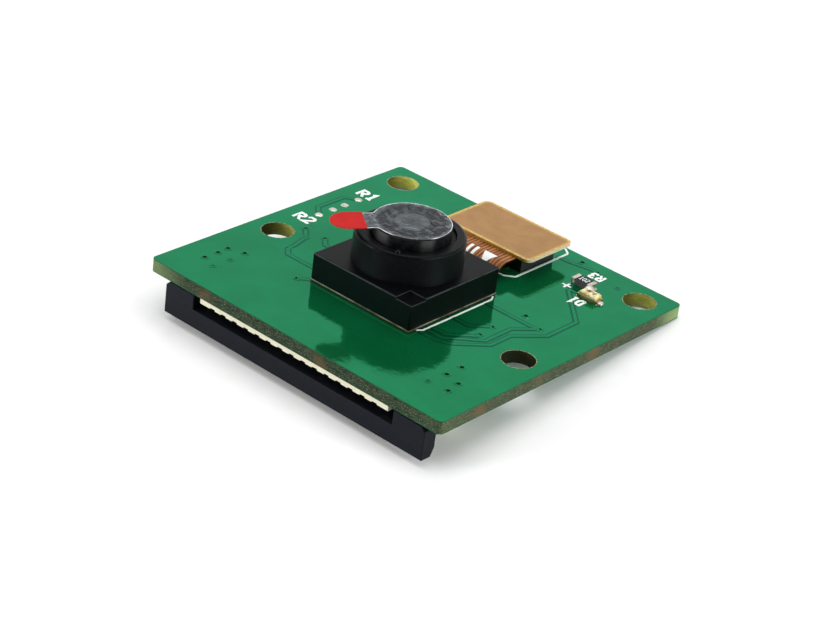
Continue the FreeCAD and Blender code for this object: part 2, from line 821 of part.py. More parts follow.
def lamp_resistor():
    chip_pair("resistor_body", "resistor_terminals", "chip_length", "chip_width", "chip_thick",
              "chip_end", [("resistor_x", "resistor_y")], "board_thick")


# ---------------------------------------------------------------- parts under the board
def leaded_package(body_name, lead_name, length, width, centres, upper_leads, lower_leads):
    """Plastic packages under the board with flat feet along both long sides."""
    bodies = []
    leads = []
    for x, y in centres:
        bodies.append(box(f"{body_name}_piece", length, width, "regulator_thick - lead_thick",
                          x, y, "-regulator_thick"))
        for side, columns in (("+", upper_leads), ("-", lower_leads)):
            for column in columns:
                leads.append(box(f"{lead_name}_piece", "lead_width", "lead_reach", "lead_thick",
                                 f"{x} + {column} * lead_pitch",
                                 f"{y} {side} ({width} + lead_reach) / 2", "-lead_thick"))
    group(body_name, bodies)
    group(lead_name, leads)


def regulators():
    leaded_package("regulator_bodies", "regulator_leads", "regulator_length", "regulator_width",
                   [("regulator_x", "regulator_y"), ("regulator_x + regulator_pitch", "regulator_y")],
                   (-1, 1), (-1, 0, 1))


def lamp_transistor():
    leaded_package("transistor_body", "transistor_leads", "transistor_length", "transistor_width",
                   [("transistor_x", "transistor_y")], (0,), (-1, 1))


def clock_oscillator():
    keep(box("clock_base", "clock_length", "clock_width", "clock_base_thick",
             "clock_x", "clock_y", "-clock_base_thick"), "clock_base")
    keep(box("clock_lid", "clock_length - 2 * clock_lid_inset", "clock_width - 2 * clock_lid_inset",
             "clock_lid_thick", "clock_x", "clock_y", "-clock_base_thick - clock_lid_thick"),
         "clock_lid")


def underside_chips():
    # steps along and away from the row beside the regulators, chosen like a placed layout
    capacitor_steps = [(-6.9, 0.0), (-4.8, 0.0), (-3.0, 0.6), (0.6, 0.0), (2.4, 0.0), (4.2, 0.0),
                       (6.0, 0.5), (8.2, 0.5)]
    resistor_steps = [(-7.6, 2.4), (-5.6, 2.4), (-2.4, 3.1), (1.2, 2.6), (3.4, 2.6), (7.2, 3.4)]
    capacitors = [(f"{x}", f"small_chip_y + {y}") for x, y in capacitor_steps]
    chip_pair("underside_capacitors", "capacitor_terminals", "small_chip_length", "small_chip_width",
              "small_capacitor_thick", "small_chip_end", capacitors, "-small_capacitor_thick")
    resistors = [(f"{x}", f"small_chip_y + {y}") for x, y in resistor_steps]
    chip_pair("underside_resistors", "underside_terminals", "small_chip_length", "small_chip_width",
              "small_resistor_thick", "small_chip_end", resistors, "-small_resistor_thick")


# ---------------------------------------------------------------- build, check and write
def check_document():
    """Stop on any object that failed and on any sub-part that isn't a sound shape."""
    for item in DOC.Objects:
        if "Invalid" in item.State or "Error" in item.State:
            raise RuntimeError(f"{item.Name} failed: {item.State}")
    for node in NODES:
        if node.Shape.isNull() or not node.Shape.isValid() or not node.Shape.Solids:
            raise RuntimeError(f"{node.Label} has no sound shape")


def write_parts():
    os.makedirs("parts", exist_ok=True)
    for node in NODES:
        node.Shape.exportStep(f"parts/{node.Label}.step")
        print(f"{node.Label}: {len(node.Shape.Solids)} solids, {node.Shape.Volume:.4f} mm3")


fill_sheet()
circuit_board()
bare_pads()
connector_slider()
ribbon_housing()
ribbon_contacts()
hold_down_tabs()
module_base()
lens_holder()
glue_dot()
lens_barrel()
optics()
protective_film()
flex_circuit()
stiffener()
board_connector()
indicator_lamp()
lamp_resistor()
regulators()
lamp_transistor()
clock_oscillator()
underside_chips()
DOC.recompute()
check_document()
write_parts()
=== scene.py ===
"""Looks of the camera module board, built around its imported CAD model.

Blender's lengths are metres, in the model's own frame: the origin is the centre of the mounting
holes on the board's underside, +X runs along the ribbon connector's edge, +Y away from it, +Z out
of the lens.  The sizes written here are millimetres, and MM turns them into metres.
"""
from math import atan2, cos, pi, radians, sin, sqrt, tan

import bmesh
import bpy
from mathutils import Matrix, Vector


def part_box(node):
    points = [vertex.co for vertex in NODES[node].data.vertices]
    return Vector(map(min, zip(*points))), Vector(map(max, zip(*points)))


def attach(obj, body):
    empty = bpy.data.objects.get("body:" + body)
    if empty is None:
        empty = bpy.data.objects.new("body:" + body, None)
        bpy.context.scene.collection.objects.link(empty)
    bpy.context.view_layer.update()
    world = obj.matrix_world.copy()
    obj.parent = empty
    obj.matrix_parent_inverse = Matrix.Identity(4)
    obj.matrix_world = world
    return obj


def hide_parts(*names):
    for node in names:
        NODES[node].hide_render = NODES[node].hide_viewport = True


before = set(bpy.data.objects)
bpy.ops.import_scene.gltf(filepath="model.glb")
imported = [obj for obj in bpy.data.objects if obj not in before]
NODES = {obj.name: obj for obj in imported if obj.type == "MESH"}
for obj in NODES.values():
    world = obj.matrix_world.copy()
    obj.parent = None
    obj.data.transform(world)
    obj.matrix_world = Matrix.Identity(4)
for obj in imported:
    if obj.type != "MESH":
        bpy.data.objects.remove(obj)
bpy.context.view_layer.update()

MM = 0.001


def span(node):
    """A node's lowest and highest corners in millimetres."""
    low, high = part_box(node)
    return Vector(low) / MM, Vector(high) / MM


def centre_of(node):
    low, high = span(node)
    return (low + high) / 2


BOARD_LOW, BOARD_HIGH = span("circuit_board")
BOARD_TOP = BOARD_HIGH.z
BOARD_CENTRE = centre_of("circuit_board")
LENS = centre_of("lens_barrel").to_2d()


# ---- shader helpers
NOISE_RANGE = (0.3, 0.7)


def feed(source, target):
    """Connect an output, or set a plain value, on an input."""
    if hasattr(source, "is_output"):
        source.id_data.links.new(source, target)
    else:
        target.default_value = source


def add_node(tree, kind, inputs=(), **settings):
    """A shader node, its inputs fed by name or number."""
    made = tree.nodes.new("ShaderNode" + kind)
    for name, value in settings.items():
        setattr(made, name, value)
    for socket, source in dict(inputs).items():
        feed(source, made.inputs[socket])
    return made


def map_range(tree, value, low, high, start, end, form="SMOOTHSTEP"):
    """Map value from low..high to start..end; low above high turns it round."""
    inputs = {"Value": value, "From Min": low, "From Max": high, "To Min": start, "To Max": end}
    return add_node(tree, "MapRange", inputs, interpolation_type=form).outputs["Result"]


def with_alpha(value):
    """A colour given as r, g, b made solid; anything else as it is."""
    return (*value, 1) if isinstance(value, tuple) else value


class Finish:
    """A procedural material: one Principled shader, fed by nodes that read millimetres."""

    def __init__(self, name, **settings):
        self.material = bpy.data.materials.new(name)
        self.material.use_nodes = True
        self.tree = self.material.node_tree
        self.shader = self.tree.nodes["Principled BSDF"]
        for socket, value in settings.items():
            self.put(socket.replace("_", " "), value)
        place = self.node("TexCoord")
        scaled = self.node("VectorMath", {0: place.outputs["Object"], "Scale": 1 / MM}, operation="SCALE")
        self.millimetres = scaled.outputs["Vector"]
        self.normal = place.outputs["Normal"]
        self.relief = None

    def node(self, kind, inputs=(), **settings):
        return add_node(self.tree, kind, inputs, **settings)

    def put(self, socket, value):
        """Set or drive a socket of the Principled shader; a colour is given as r, g, b."""
        target = self.shader.inputs[socket]
        feed(with_alpha(value) if target.type == "RGBA" else value, target)

    def driven(self, socket):
        """The output that drives a socket of the shader so far."""
        return self.shader.inputs[socket].links[0].from_socket

    def math(self, operation, first, *others):
        """One operation on a value alone, or on several values taken in turn."""
        for other in others or (0,):
            first = self.node("Math", {0: first, 1: other}, operation=operation).outputs[0]
        return first

    def times(self, *sources):
        return self.math("MULTIPLY", *sources)

    def less(self, first, second):
        return self.math("SUBTRACT", first, second)

    def axes(self, vector=None):
        """X, Y and Z of a vector, or of the place in millimetres."""
        return self.node("SeparateXYZ", {0: vector or self.millimetres}).outputs

    def facing(self):
        """How far the surface faces right, back and up."""
        return self.axes(self.normal)

    def gap(self, value, level):
        """How far a value is from a level, above or below it."""
        return self.math("ABSOLUTE", self.less(value, level))

    def near(self, value, level, full, none):
        """1 where a value is within full of a level, fading to 0 at none."""
        return self.ramp(self.gap(value, level), none, full)

    def length(self, x, y):
        return self.math("SQRT", self.math("ADD", self.math("POWER", x, 2), self.math("POWER", y, 2)))

    def away_from(self, centre):
        """How far a place is from an upright axis."""
        x, y, _ = self.axes()
        return self.length(self.less(x, centre[0]), self.less(y, centre[1]))

    def toward(self, right, back, way):
        """How far a flat vector, given by its parts, runs along a flat direction."""
        return self.math("ADD", self.times(right, way[0]), self.times(back, way[1]))

    def noise(self, scale, detail=3, squeeze=None, roughness=0.55):
        """Noise of scale per millimetre, squeezed along X, Y and Z."""
        place = self.millimetres
        if squeeze:
            place = self.node("VectorMath", {0: place, 1: squeeze}, operation="MULTIPLY").outputs[0]
        inputs = {"Vector": place, "Scale": scale, "Detail": detail, "Roughness": roughness}
        return self.node("TexNoise", inputs).outputs["Fac"]

    def ramp(self, factor, low, high, start=0, end=1, **settings):
        return map_range(self.tree, factor, low, high, start, end, **settings)

    def blend(self, factor, first, second):
        """Mix two colours or two values by factor."""
        colours = isinstance(first, tuple) or getattr(first, "type", "") == "RGBA"
        kind, low, high, out = ("RGBA", 6, 7, 2) if colours else ("FLOAT", 2, 3, 0)
        inputs = {0: factor, low: with_alpha(first), high: with_alpha(second)}
        return self.node("Mix", inputs, data_type=kind).outputs[out]

    def tone(self, factor, first, second, low=NOISE_RANGE[0], high=NOISE_RANGE[1]):
        """Shade from the first colour to the second as factor goes from low to high."""
        return self.blend(self.ramp(factor, low, high), first, second)

    def colour(self, source):
        self.put("Base Color", source)

    def rough(self, factor, low, high):
        """Let the roughness follow noise from low to high."""
        self.put("Roughness", self.ramp(factor, *NOISE_RANGE, low, high))

    def from_edges(self, low, high, corner):
        """How far a place is inside a rounded rectangle, in X and Y; negative outside it."""
        x, y, _ = self.axes()
        past = []
        for axis, near, far in ((x, low.x, high.x), (y, low.y, high.y)):
            past.append(self.less(self.gap(axis, (near + far) / 2), (far - near) / 2 - corner))
        distance = self.length(*[self.math("MAXIMUM", beyond, 0) for beyond in past])
        inner = self.math("MINIMUM", self.math("MAXIMUM", *past), 0)
        return self.less(corner, self.math("ADD", distance, inner))

    def bump(self, height, distance):
        """Raise the surface by height times distance, given in millimetres."""
        inputs = {"Height": height, "Strength": 1, "Distance": distance * MM}
        if self.relief:
            inputs["Normal"] = self.relief
        self.relief = self.node("Bump", inputs).outputs["Normal"]
        self.put("Normal", self.relief)


DUST = (0.35, 0.36, 0.36)


def mottled(name, dark, light, roughness, grain, bump=0.004, dust=0, **settings):
    """A surface whose colour, roughness and fine relief vary with noise of a given grain."""
    look = Finish(name, **settings)
    colour = look.tone(look.noise(grain * 0.25, detail=4), dark, light)
    fine = look.noise(grain, detail=5)
    if dust:
        specks = look.ramp(look.noise(grain * 1.7, detail=2), 0.7, 0.78, 0, dust)
        colour = look.blend(specks, colour, DUST)
    look.colour(colour)
    look.rough(fine, roughness - 0.05, roughness + 0.06)
    look.bump(fine, bump)
    return look


def give(look, *names):
    """Put a finish on CAD nodes through their material slots."""
    for name in names:
        for slot in NODES[name].material_slots:
            slot.material = look.material


# ---- mesh helpers, in millimetres
def add_object(name, data):
    made = bpy.data.objects.new(name, data)
    bpy.context.scene.collection.objects.link(made)
    return made


class Mesh:
    """A mesh being built from closed shells; inks are the numbers of its finishes."""

    def __init__(self):
        self.data = bmesh.new()

    def point(self, place):
        return self.data.verts.new(Vector(place) * MM)

    def face(self, corners, ink=0):
        self.data.faces.new(corners).material_index = ink

    def strip(self, first, second, steps, ink):
        """Quads between two rows of points."""
        for near in range(steps):
            far = (near + 1) % len(first)
            self.face((first[near], first[far], second[far], second[near]), ink)

    def shell(self, rails, inks=None):
        """Join rails side by side, and the last with the first, into a tube with closed ends."""
        rows = [[self.point(place) for place in rail] for rail in rails]
        for number, first in enumerate(rows):
            self.strip(first, rows[(number + 1) % len(rows)], len(first) - 1, inks[number] if inks else 0)
        self.face([row[0] for row in rows])
        self.face([row[-1] for row in reversed(rows)])

    def stack(self, rings, inks=None):
        """Join closed rings, each with the next, and close both ends with a face."""
        rows = [[self.point(place) for place in ring] for ring in rings]
        for number, (outer, inner) in enumerate(zip(rows, rows[1:])):
            self.strip(outer, inner, len(outer), inks[number] if inks else 0)
        self.face(rows[-1], inks[-1] if inks else 0)
        self.face(list(reversed(rows[0])))

    def turned(self, centre, profile, foot, up=1, steps=20, inks=None, stretch=(1, 1), square=2):
        """Turn radius and height pairs, from the rim to the middle, about an upright axis.

        stretch widens it in X and Y; square above 2 makes its outline squarer than a circle."""
        outline = []
        for step in range(steps):
            angle = 2 * pi * step / steps
            across, along = cos(angle), sin(angle)
            reach = (abs(across) ** square + abs(along) ** square) ** (-1 / square)
            outline.append((across * reach * stretch[0], along * reach * stretch[1]))
        rings = []
        for radius, height in profile:
            level = foot + up * height
            rings.append([(centre[0] + radius * x, centre[1] + radius * y, level) for x, y in outline])
        self.stack(rings, inks)

    def piece(self, name, finishes, body="board", smooth=False):
        """Finish the mesh as a piece that rides on a body and takes its finish from a slot."""
        bmesh.ops.recalc_face_normals(self.data, faces=self.data.faces)
        data = bpy.data.meshes.new(name)
        self.data.to_mesh(data)
        self.data.free()
        for face in data.polygons:
            face.use_smooth = smooth
        for look in finishes:
            data.materials.append(look.material)
        made = add_object(name, data)
        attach(made, body)
        return made


def soften(target, width):
    """Round a CAD node's sharp edges, after joining corners that share a place."""
    weld = target.modifiers.new("weld", "WELD")
    weld.merge_threshold = 1e-7
    bevel = target.modifiers.new("bevel", "BEVEL")
    bevel.width = width * MM
    bevel.segments = 2
    bevel.limit_method = "ANGLE"
    bevel.angle_limit = radians(35)


def arc(centre, radius, start, end, steps):
    """Points along an arc from one angle to another, both ends among them."""
    angles = [start + (end - start) * step / steps for step in range(steps + 1)]
    return [(centre[0] + radius * cos(angle), centre[1] + radius * sin(angle)) for angle in angles]


def beside(points, distance, ring=False):
    """A flat path moved sideways by distance, with mitred corners."""
    places = [Vector(place) for place in points]
    count = len(places)
    moved = []
    for index, place in enumerate(places):
        runs = []
        if ring or index > 0:
            runs.append(place - places[index - 1])
        if ring or index < count - 1:
            runs.append(places[(index + 1) % count] - place)
        sides = [Vector((-run.y, run.x)).normalized() for run in runs]
        side = sum(sides, Vector((0, 0))) / len(sides)
        moved.append(place + side * (distance / side.length_squared))
    return moved


def rounded(points, radius, steps=4):
    """A flat path with its inner corners turned into arcs."""
    places = [Vector(place) for place in points]
    smooth = [places[0]]
    for before, corner, after in zip(places, places[1:], places[2:]):
        back, on = (before - corner).normalized(), (after - corner).normalized()
        half = back.angle(on) / 2
        middle = corner + (back + on).normalized() * (radius / sin(half))
        start = corner + back * (radius / tan(half)) - middle
        turn = (corner + on * (radius / tan(half)) - middle).angle_signed(start)
        for step in range(steps + 1):
            smooth.append(middle + Matrix.Rotation(turn * step / steps, 2) @ start)
    return smooth + [places[-1]]


SUNK = 0.01


def ribbon(mesh, path, width, rise, foot=BOARD_TOP, up=1, flank=0, inks=None):
    """A raised flat strip along a path on a face of the board, its foot sunk in and spread by flank."""
    half = width / 2
    section = [(half + flank, -SUNK), (half, rise), (-half, rise), (-half - flank, -SUNK)]
    rails = []
    for distance, height in section:
        rails.append([(x, y, foot + up * height) for x, y in beside(path, distance)])
    mesh.shell(rails, inks)


# ---- stage, lights and camera
VIEW_AZIMUTH = radians(38.27)
VIEW_ELEVATION = radians(28.50)
VIEW_ROLL = radians(7.68)
VIEW_DISTANCE = 147.2
VIEW_LENS = 98.73
VIEW_AIM = Vector((0.494, -0.767, -1.246))
FLOOR_REACH = 2000
FLOOR_CLEARANCE = 0.02
# name, power, width, azimuth and elevation in degrees, distance
SOFT_BOXES = [
    ("overhead", 0.7, 350, 0, 88, 400),
    ("left_box", 1.1, 160, -38, 12, 500),
    ("right_box", 1.2, 160, 100, 20, 500),
    ("back_box", 0.12, 500, 218, 28, 500),
]


def direction(azimuth, elevation):
    """The way from the object to a viewer; azimuth 0 is in front, on the connector's side."""
    return Vector((sin(azimuth) * cos(elevation), -cos(azimuth) * cos(elevation), sin(elevation)))


def aimed(aim, back, distance):
    """The matrix of a camera or light that looks at aim from back, so many millimetres away."""
    turned = (-back).to_track_quat("-Z", "Y").to_matrix().to_4x4()
    return Matrix.Translation((aim + back * distance) * MM) @ turned


def add_camera():
    """The camera, aimed beside the board's middle and rolled a little."""
    data = bpy.data.cameras.new("camera")
    data.lens = VIEW_LENS
    data.clip_start = 10 * MM
    data.clip_end = 5 * FLOOR_REACH * MM
    camera = add_object("camera", data)
    level = aimed(BOARD_CENTRE + VIEW_AIM, direction(VIEW_AZIMUTH, VIEW_ELEVATION), VIEW_DISTANCE)
    camera.matrix_world = level @ Matrix.Rotation(VIEW_ROLL, 4, "Z")
    bpy.context.scene.camera = camera


def add_floor():
    """A pale floor under the board as it lies: on the connector's back edge and its own far edge."""
    low, high = span("ribbon_housing")
    front = Vector((0, high.y, low.z))
    tilt = atan2(BOARD_LOW.z - front.z, BOARD_HIGH.y - front.y)
    mesh = bmesh.new()
    bmesh.ops.create_grid(mesh, x_segments=1, y_segments=1, size=FLOOR_REACH * MM)
    data = bpy.data.meshes.new("floor")
    mesh.to_mesh(data)
    mesh.free()
    floor = add_object("floor", data)
    place = (front - Vector((0, 0, FLOOR_CLEARANCE))) * MM
    floor.matrix_world = Matrix.Translation(place) @ Matrix.Rotation(tilt, 4, "X")
    paper = mottled("floor_paper", (0.86, 0.86, 0.86), (0.88, 0.88, 0.88), 0.8, 2, bump=0,
                    Emission_Color=(1, 1, 1), Emission_Strength=0.06)
    data.materials.append(paper.material)


def add_studio():
    """Soft boxes in a white tent that is darker on the camera's side."""
    world = bpy.data.worlds.new("studio")
    world.use_nodes = True
    tree = world.node_tree
    background = tree.nodes["Background"]
    background.inputs["Color"].default_value = (1, 1, 1, 1)
    sky = {0: add_node(tree, "TexCoord").outputs["Generated"], 1: direction(VIEW_AZIMUTH, radians(5))}
    toward = add_node(tree, "VectorMath", sky, operation="DOT_PRODUCT").outputs["Value"]
    feed(map_range(tree, toward, 0.35, 0.92, 0.8, 0.08, "LINEAR"), background.inputs["Strength"])
    bpy.context.scene.world = world
    for name, power, width, azimuth, elevation, distance in SOFT_BOXES:
        data = bpy.data.lights.new(name, "AREA")
        data.energy = power
        data.size = width * MM
        back = direction(radians(azimuth), radians(elevation))
        add_object(name, data).matrix_world = aimed(BOARD_CENTRE, back, distance)
    bpy.context.scene.view_settings.view_transform = "Standard"


# ---- finishes used in several places
def solder_finish():
    """Bright metal, dulled and dimpled in patches."""
    look = Finish("solder", Metallic=1)
    cloud = look.noise(2.5, detail=5)
    look.colour(look.tone(cloud, (0.48, 0.46, 0.4), (0.84, 0.81, 0.72), 0.35, 0.65))
    look.rough(look.noise(11, detail=4), 0.25, 0.5)
    look.bump(cloud, 0.03)
    return look


MASK_METAL = 0.62
MASK_DARK = (0.003, 0.172, 0.05)
MASK_LIGHT = (0.0045, 0.2, 0.064)


def mask_finish(name, dark, light):
    """Green solder mask over copper: a clear gloss with a green-tinted sheen below it."""
    look = Finish(name, Metallic=MASK_METAL, Specular_Tint=(0.3, 1, 0.9))
    fine = look.noise(9)
    look.colour(look.tone(look.noise(0.35, detail=4), dark, light))
    look.rough(fine, 0.05, 0.1)
    look.bump(look.noise(0.9, detail=2), 0.012)
    look.bump(fine, 0.0012)
    return look


# ---- the board
HOLE_X = 10.5
HOLE_Y = 6.25
HOLE_RADIUS = 1.1


def sawn_edge(look, fibres, ends):
    """Dark laminate with pale broken ends and brown patches, green along the board's faces, and a little
    painted light on the edges that face right.
    """
    x, y, z = look.axes()
    edge = look.tone(fibres, (0.007, 0.016, 0.008), (0.046, 0.062, 0.032), 0.38, 0.62)
    edge = look.tone(ends, edge, (0.17, 0.18, 0.1), 0.54, 0.7)
    edge = look.tone(ends, edge, (0.006, 0.012, 0.006), 0.4, 0.28)
    patches = look.noise(0.28, detail=2)
    edge = look.blend(look.ramp(patches, 0.54, 0.66, 0, 0.7), edge, (0.115, 0.07, 0.028))
    # painted light: edges that face right are lifted a little towards pale olive, standing in for the light
    # from that side
    right = look.facing()[0]
    edge = look.blend(look.ramp(right, 0.5, 0.9, 0, 0.04), edge, (0.62, 0.66, 0.34))

    # the corners are crushed paler, least at the one nearest the photograph's camera
    half = (BOARD_HIGH - BOARD_LOW) / 2
    across = look.math("DIVIDE", look.gap(x, BOARD_CENTRE.x), half.x)
    along = look.math("DIVIDE", look.gap(y, BOARD_CENTRE.y), half.y)
    crushed = look.times(look.ramp(look.math("ADD", across, along), 1.72, 1.97),
                         look.ramp(patches, 0.3, 0.6, 0.6, 1),
                         look.ramp(look.less(x, y), 20, 26, 1, 0.12),
                         look.ramp(y, -15, 0, 0.65, 1))
    edge = look.blend(crushed, edge, (0.24, 0.34, 0.14))
    skin = look.math("MAXIMUM", look.ramp(z, BOARD_TOP - 0.07, BOARD_TOP - 0.03),
                     look.ramp(z, 0.07, 0.03))
    return look.blend(skin, edge, (0.01, 0.085, 0.035))


def hole_wall(look, fibres, ends, side):
    """Yellow laminate with a pale rim; painted light makes it brighter on a hole's right, and painted shade
    darkens the holes nearer the front.
    """
    x, y, _ = look.axes()
    off_centre = []
    for axis, place in ((x, HOLE_X), (y, HOLE_Y)):
        centre = look.times(look.math("SIGN", axis), place)
        off_centre.append(look.less(axis, centre))
    # painted light: each wall goes from dark olive to bright yellow across the hole
    painted_light_across_hole = look.math("ADD", *off_centre)
    wall = look.tone(painted_light_across_hole, (0.115, 0.112, 0.012), (0.78, 0.8, 0.16), -1.3, 1.3)
    # painted shade: the holes nearer the front, and the right one most, are darkened
    painted_shade_front_to_back = look.less(y, look.times(x, 0.35))
    wall = look.blend(look.ramp(painted_shade_front_to_back, -9, 8, form="LINEAR"), (0.014, 0.012, 0.004), wall)
    wall = look.blend(look.ramp(fibres, 0.35, 0.65, 0.5, 0), wall, (0.02, 0.018, 0.004))
    rim = look.tone(ends, (0.06, 0.085, 0.03), (0.34, 0.33, 0.2), 0.4, 0.6)
    return look.blend(side, rim, wall)


def board_finish():
    """Solder mask on the faces, bare woven laminate on the edges, in the holes and round them."""
    look = mask_finish("solder_mask", MASK_DARK, MASK_LIGHT)
    mask, mask_rough = look.driven("Base Color"), look.driven("Roughness")
    x, y, _ = look.axes()
    side = look.ramp(look.math("ABSOLUTE", look.facing()[2]), 0.8, 0.5)
    from_hole = look.length(look.less(look.math("ABSOLUTE", x), HOLE_X),
                            look.less(look.math("ABSOLUTE", y), HOLE_Y))
    collar = look.ramp(from_hole, HOLE_RADIUS + 0.07, HOLE_RADIUS + 0.04)
    in_hole = look.ramp(from_hole, HOLE_RADIUS + 0.4, HOLE_RADIUS + 0.2)
    bare = look.math("MAXIMUM", side, collar)
    fibres = look.noise(1.6, detail=6, squeeze=(1, 1, 11), roughness=0.7)
    ends = look.noise(7.5, squeeze=(1, 1, 2.2))
    laminate = look.blend(in_hole, sawn_edge(look, fibres, ends), hole_wall(look, fibres, ends, side))
    look.colour(look.blend(bare, mask, laminate))
    look.put("Metallic", look.blend(bare, MASK_METAL, 0))
    look.put("Roughness", look.blend(bare, mask_rough, 0.62))
    look.put("Specular IOR Level", look.ramp(bare, 0, 1, 0.5, 0.12))
    look.bump(look.times(ends, bare), 0.02)
    return look


VIA_RADIUS = 0.27
VIA_PLACES = [
    (-10.52, -12.91), (-10.48, -11.76), (-10.53, -10.82), (-9.39, -10.41), (9.02, -9.92),
    (9, -11.3), (10.18, -11.58), (10.33, -12.7), (7.24, -1.58), (6.86, -4.49), (7.03, -5.92),
    (8.88, -2.23), (4.79, 7.41), (6.32, 7.06), (-9.54, -4.56), (-8.66, -5.46), (-8.29, -7.51),
    (-7.77, -4.54), (-4.95, -10.05),
]
TENTED_PLACES = [(-9.34, -13.3), (-9.3, -11.8), (8.81, -12.81), (8.52, 6.46)]
TRACK_PATHS = [
    [(4, -8.74), (5.9, -8.62), (6.75, -8.2), (8.3, -6.35), (8.3, -4.45), (9.75, -2.5), (9.75, 0.45),
     (6.75, 3.45), (6.75, 3.68), (7.4, 3.68)],
    [(4, -8.2), (5.85, -8.1), (7.75, -6.2), (7.75, -3.7), (8.88, -2.23)],
    [(4, -7.7), (5.7, -7.6), (7.03, -6.2), (7.03, -5.92)],
    [(4, -2.38), (8.3, -2.38), (8.88, -2.23)],
    [(4, -5.6), (5.75, -5.6), (6.86, -4.49)],
    [(3.2, 6.7), (4.1, 6.7), (5.75, 7.06), (6.32, 7.06)],
    [(-8.29, -7.51), (-7.65, -8.15), (-4, -8.15)],
    [(-8.29, -7.51), (-8.29, -6.9), (-8.66, -5.46), (-9.54, -4.56)],
    [(-7.77, -4.54), (-7.1, -5.2), (-4, -5.2)],
    [(-4.95, -10.05), (-4.3, -9.4)],
    [(-10.47, -2.33), (-11.35, -1.5), (-11.35, 1.1), (-10.47, 1.6)],
]
TRACK_WIDTH = 0.22
TRACK_GAP = 0.11
TRACK_RISE = 0.02
GAP_RISE = 0.004
# radius and height, from a filled via's rim to its pit
VIA_PROFILE = [(VIA_RADIUS + 0.06, -SUNK), (VIA_RADIUS + 0.05, 0.007), (VIA_RADIUS, 0.008),
               (VIA_RADIUS - 0.03, 0.028), (0.15, 0.03), (0.12, 0.01), (0.03, 0.008)]
TENTED_PROFILE = [(VIA_RADIUS, -SUNK), (VIA_RADIUS - 0.03, 0.02), (0.14, 0.022), (0.1, 0.012)]
MASK_INK, EDGE_INK, PIT_INK = range(3)


def add_tracks(name, paths, vias, tented, foot, up, finishes):
    """Copper tracks and filled vias under the mask; finishes are the mask, its dark edges, the pits, whose
    dark colour is painted shade.
    """
    mesh = Mesh()
    for number, path in enumerate(paths):
        # tracks that cross or meet stand at three heights, so that no two faces coincide
        step = 0.0008 * (number % 3)
        ribbon(mesh, path, TRACK_WIDTH + 2 * TRACK_GAP, GAP_RISE + step, foot, up, inks=[EDGE_INK] * 4)
        ribbon(mesh, path, TRACK_WIDTH, TRACK_RISE + step, foot, up, 0.03,
               inks=(EDGE_INK, MASK_INK, EDGE_INK, MASK_INK))
    for place in vias:
        mesh.turned(place, VIA_PROFILE, foot, up,
                    inks=(MASK_INK, MASK_INK, EDGE_INK, MASK_INK, PIT_INK, PIT_INK))
    for place in tented:
        mesh.turned(place, TENTED_PROFILE, foot, up, inks=(EDGE_INK, MASK_INK, EDGE_INK))
    mesh.piece(name, finishes)


# ---- legend print
# strokes on a grid 40 wide and 60 high
GLYPHS = {
    "1": [[(9, 49), (20, 60), (20, 0)], [(7, 3), (33, 3)]],
    "2": [[(2, 46), (10, 57), (30, 57), (38, 46), (36, 36), (4, 3), (40, 3)]],
    "3": [[(2, 50), (10, 57), (30, 57), (37, 48), (30, 33), (38, 20), (32, 6), (12, 3), (2, 11)],
          [(14, 32), (28, 32)]],
    "0": [[(3, 14), (3, 46), (13, 57), (27, 57), (37, 46), (37, 14), (27, 3), (13, 3), (3, 16)]],
    "R": [[(4, 0), (4, 56), (28, 56), (37, 49), (37, 37), (28, 29), (6, 29)], [(18, 26), (38, 0)]],
    "D": [[(4, 2), (4, 57), (24, 57), (37, 44), (37, 16), (24, 3), (2, 3)]],
    "C": [[(38, 11), (30, 3), (14, 3), (4, 15), (4, 45), (14, 57), (30, 57), (38, 49)]],
    "U": [[(4, 60), (4, 14), (13, 3), (27, 3), (37, 14), (37, 60)]],
    "J": [[(34, 60), (34, 14), (25, 3), (13, 3), (4, 14)]],
    "+": [[(0, 30), (40, 30)], [(20, 10), (20, 50)]],
}
GLYPH_HEIGHT = 60
GLYPH_WIDTH = 40
GLYPH_ADVANCE = 52
INK_RISE = 0.034


def write(mesh, text, middle, height, foot=BOARD_TOP, up=1, turn=0, weight=0.2, rise=INK_RISE, stretch=1):
    """Print short text as flat strokes, centred on middle and turned by degrees."""
    scale = height / GLYPH_HEIGHT
    length = GLYPH_ADVANCE * (len(text) - 1) + GLYPH_WIDTH
    spin = Matrix.Rotation(radians(turn), 2)
    for index, glyph in enumerate(text):
        for number, stroke in enumerate(GLYPHS[glyph]):
            path = []
            for x, y in stroke:
                across = (x + GLYPH_ADVANCE * index - length / 2) * scale * stretch * up
                path.append(spin @ Vector((across, (y - GLYPH_HEIGHT / 2) * scale)) + Vector(middle))
            ribbon(mesh, path, weight, rise + 0.0007 * number, foot, up)


def add_top_legend(ink):
    """Lines beside the lens module, the outline round the flex's plug, and the designators."""
    mesh = Mesh()
    low, high = span("lens_holder")
    edge, back = high.x + 0.24, high.y + 0.25
    for line in ([(edge - 0.25, low.y + 0.75), (edge, low.y + 1.15), (edge, -1.75), (edge - 0.22, -1.35)],
                 [(-edge, back - 0.35), (-edge + 0.25, back), (-edge + 0.9, back)]):
        ribbon(mesh, rounded(line, 0.1), 0.11, INK_RISE)
    right_half = [(2.3, 1.46), (2.75, 1.46), (3.4, 2), (3.4, 7.58), (2.85, 8)]
    outline = right_half + [(-x, y) for x, y in reversed(right_half)]
    ribbon(mesh, rounded(outline, 0.28), 0.14, INK_RISE)
    write(mesh, "R2", (-10.7, -3.47), 0.94, stretch=1.02)
    write(mesh, "R1", (-10.58, 2.67), 0.94, stretch=1.02)
    write(mesh, "D1", (7.98, 2.72), 0.8, turn=180, weight=0.17, stretch=0.8)
    write(mesh, "R3", (6.72, 6.52), 0.8, turn=180, weight=0.17, stretch=0.82)
    write(mesh, "+", (6.22, 3.9), 1.05, weight=0.14)
    mesh.piece("top_legend", [ink])


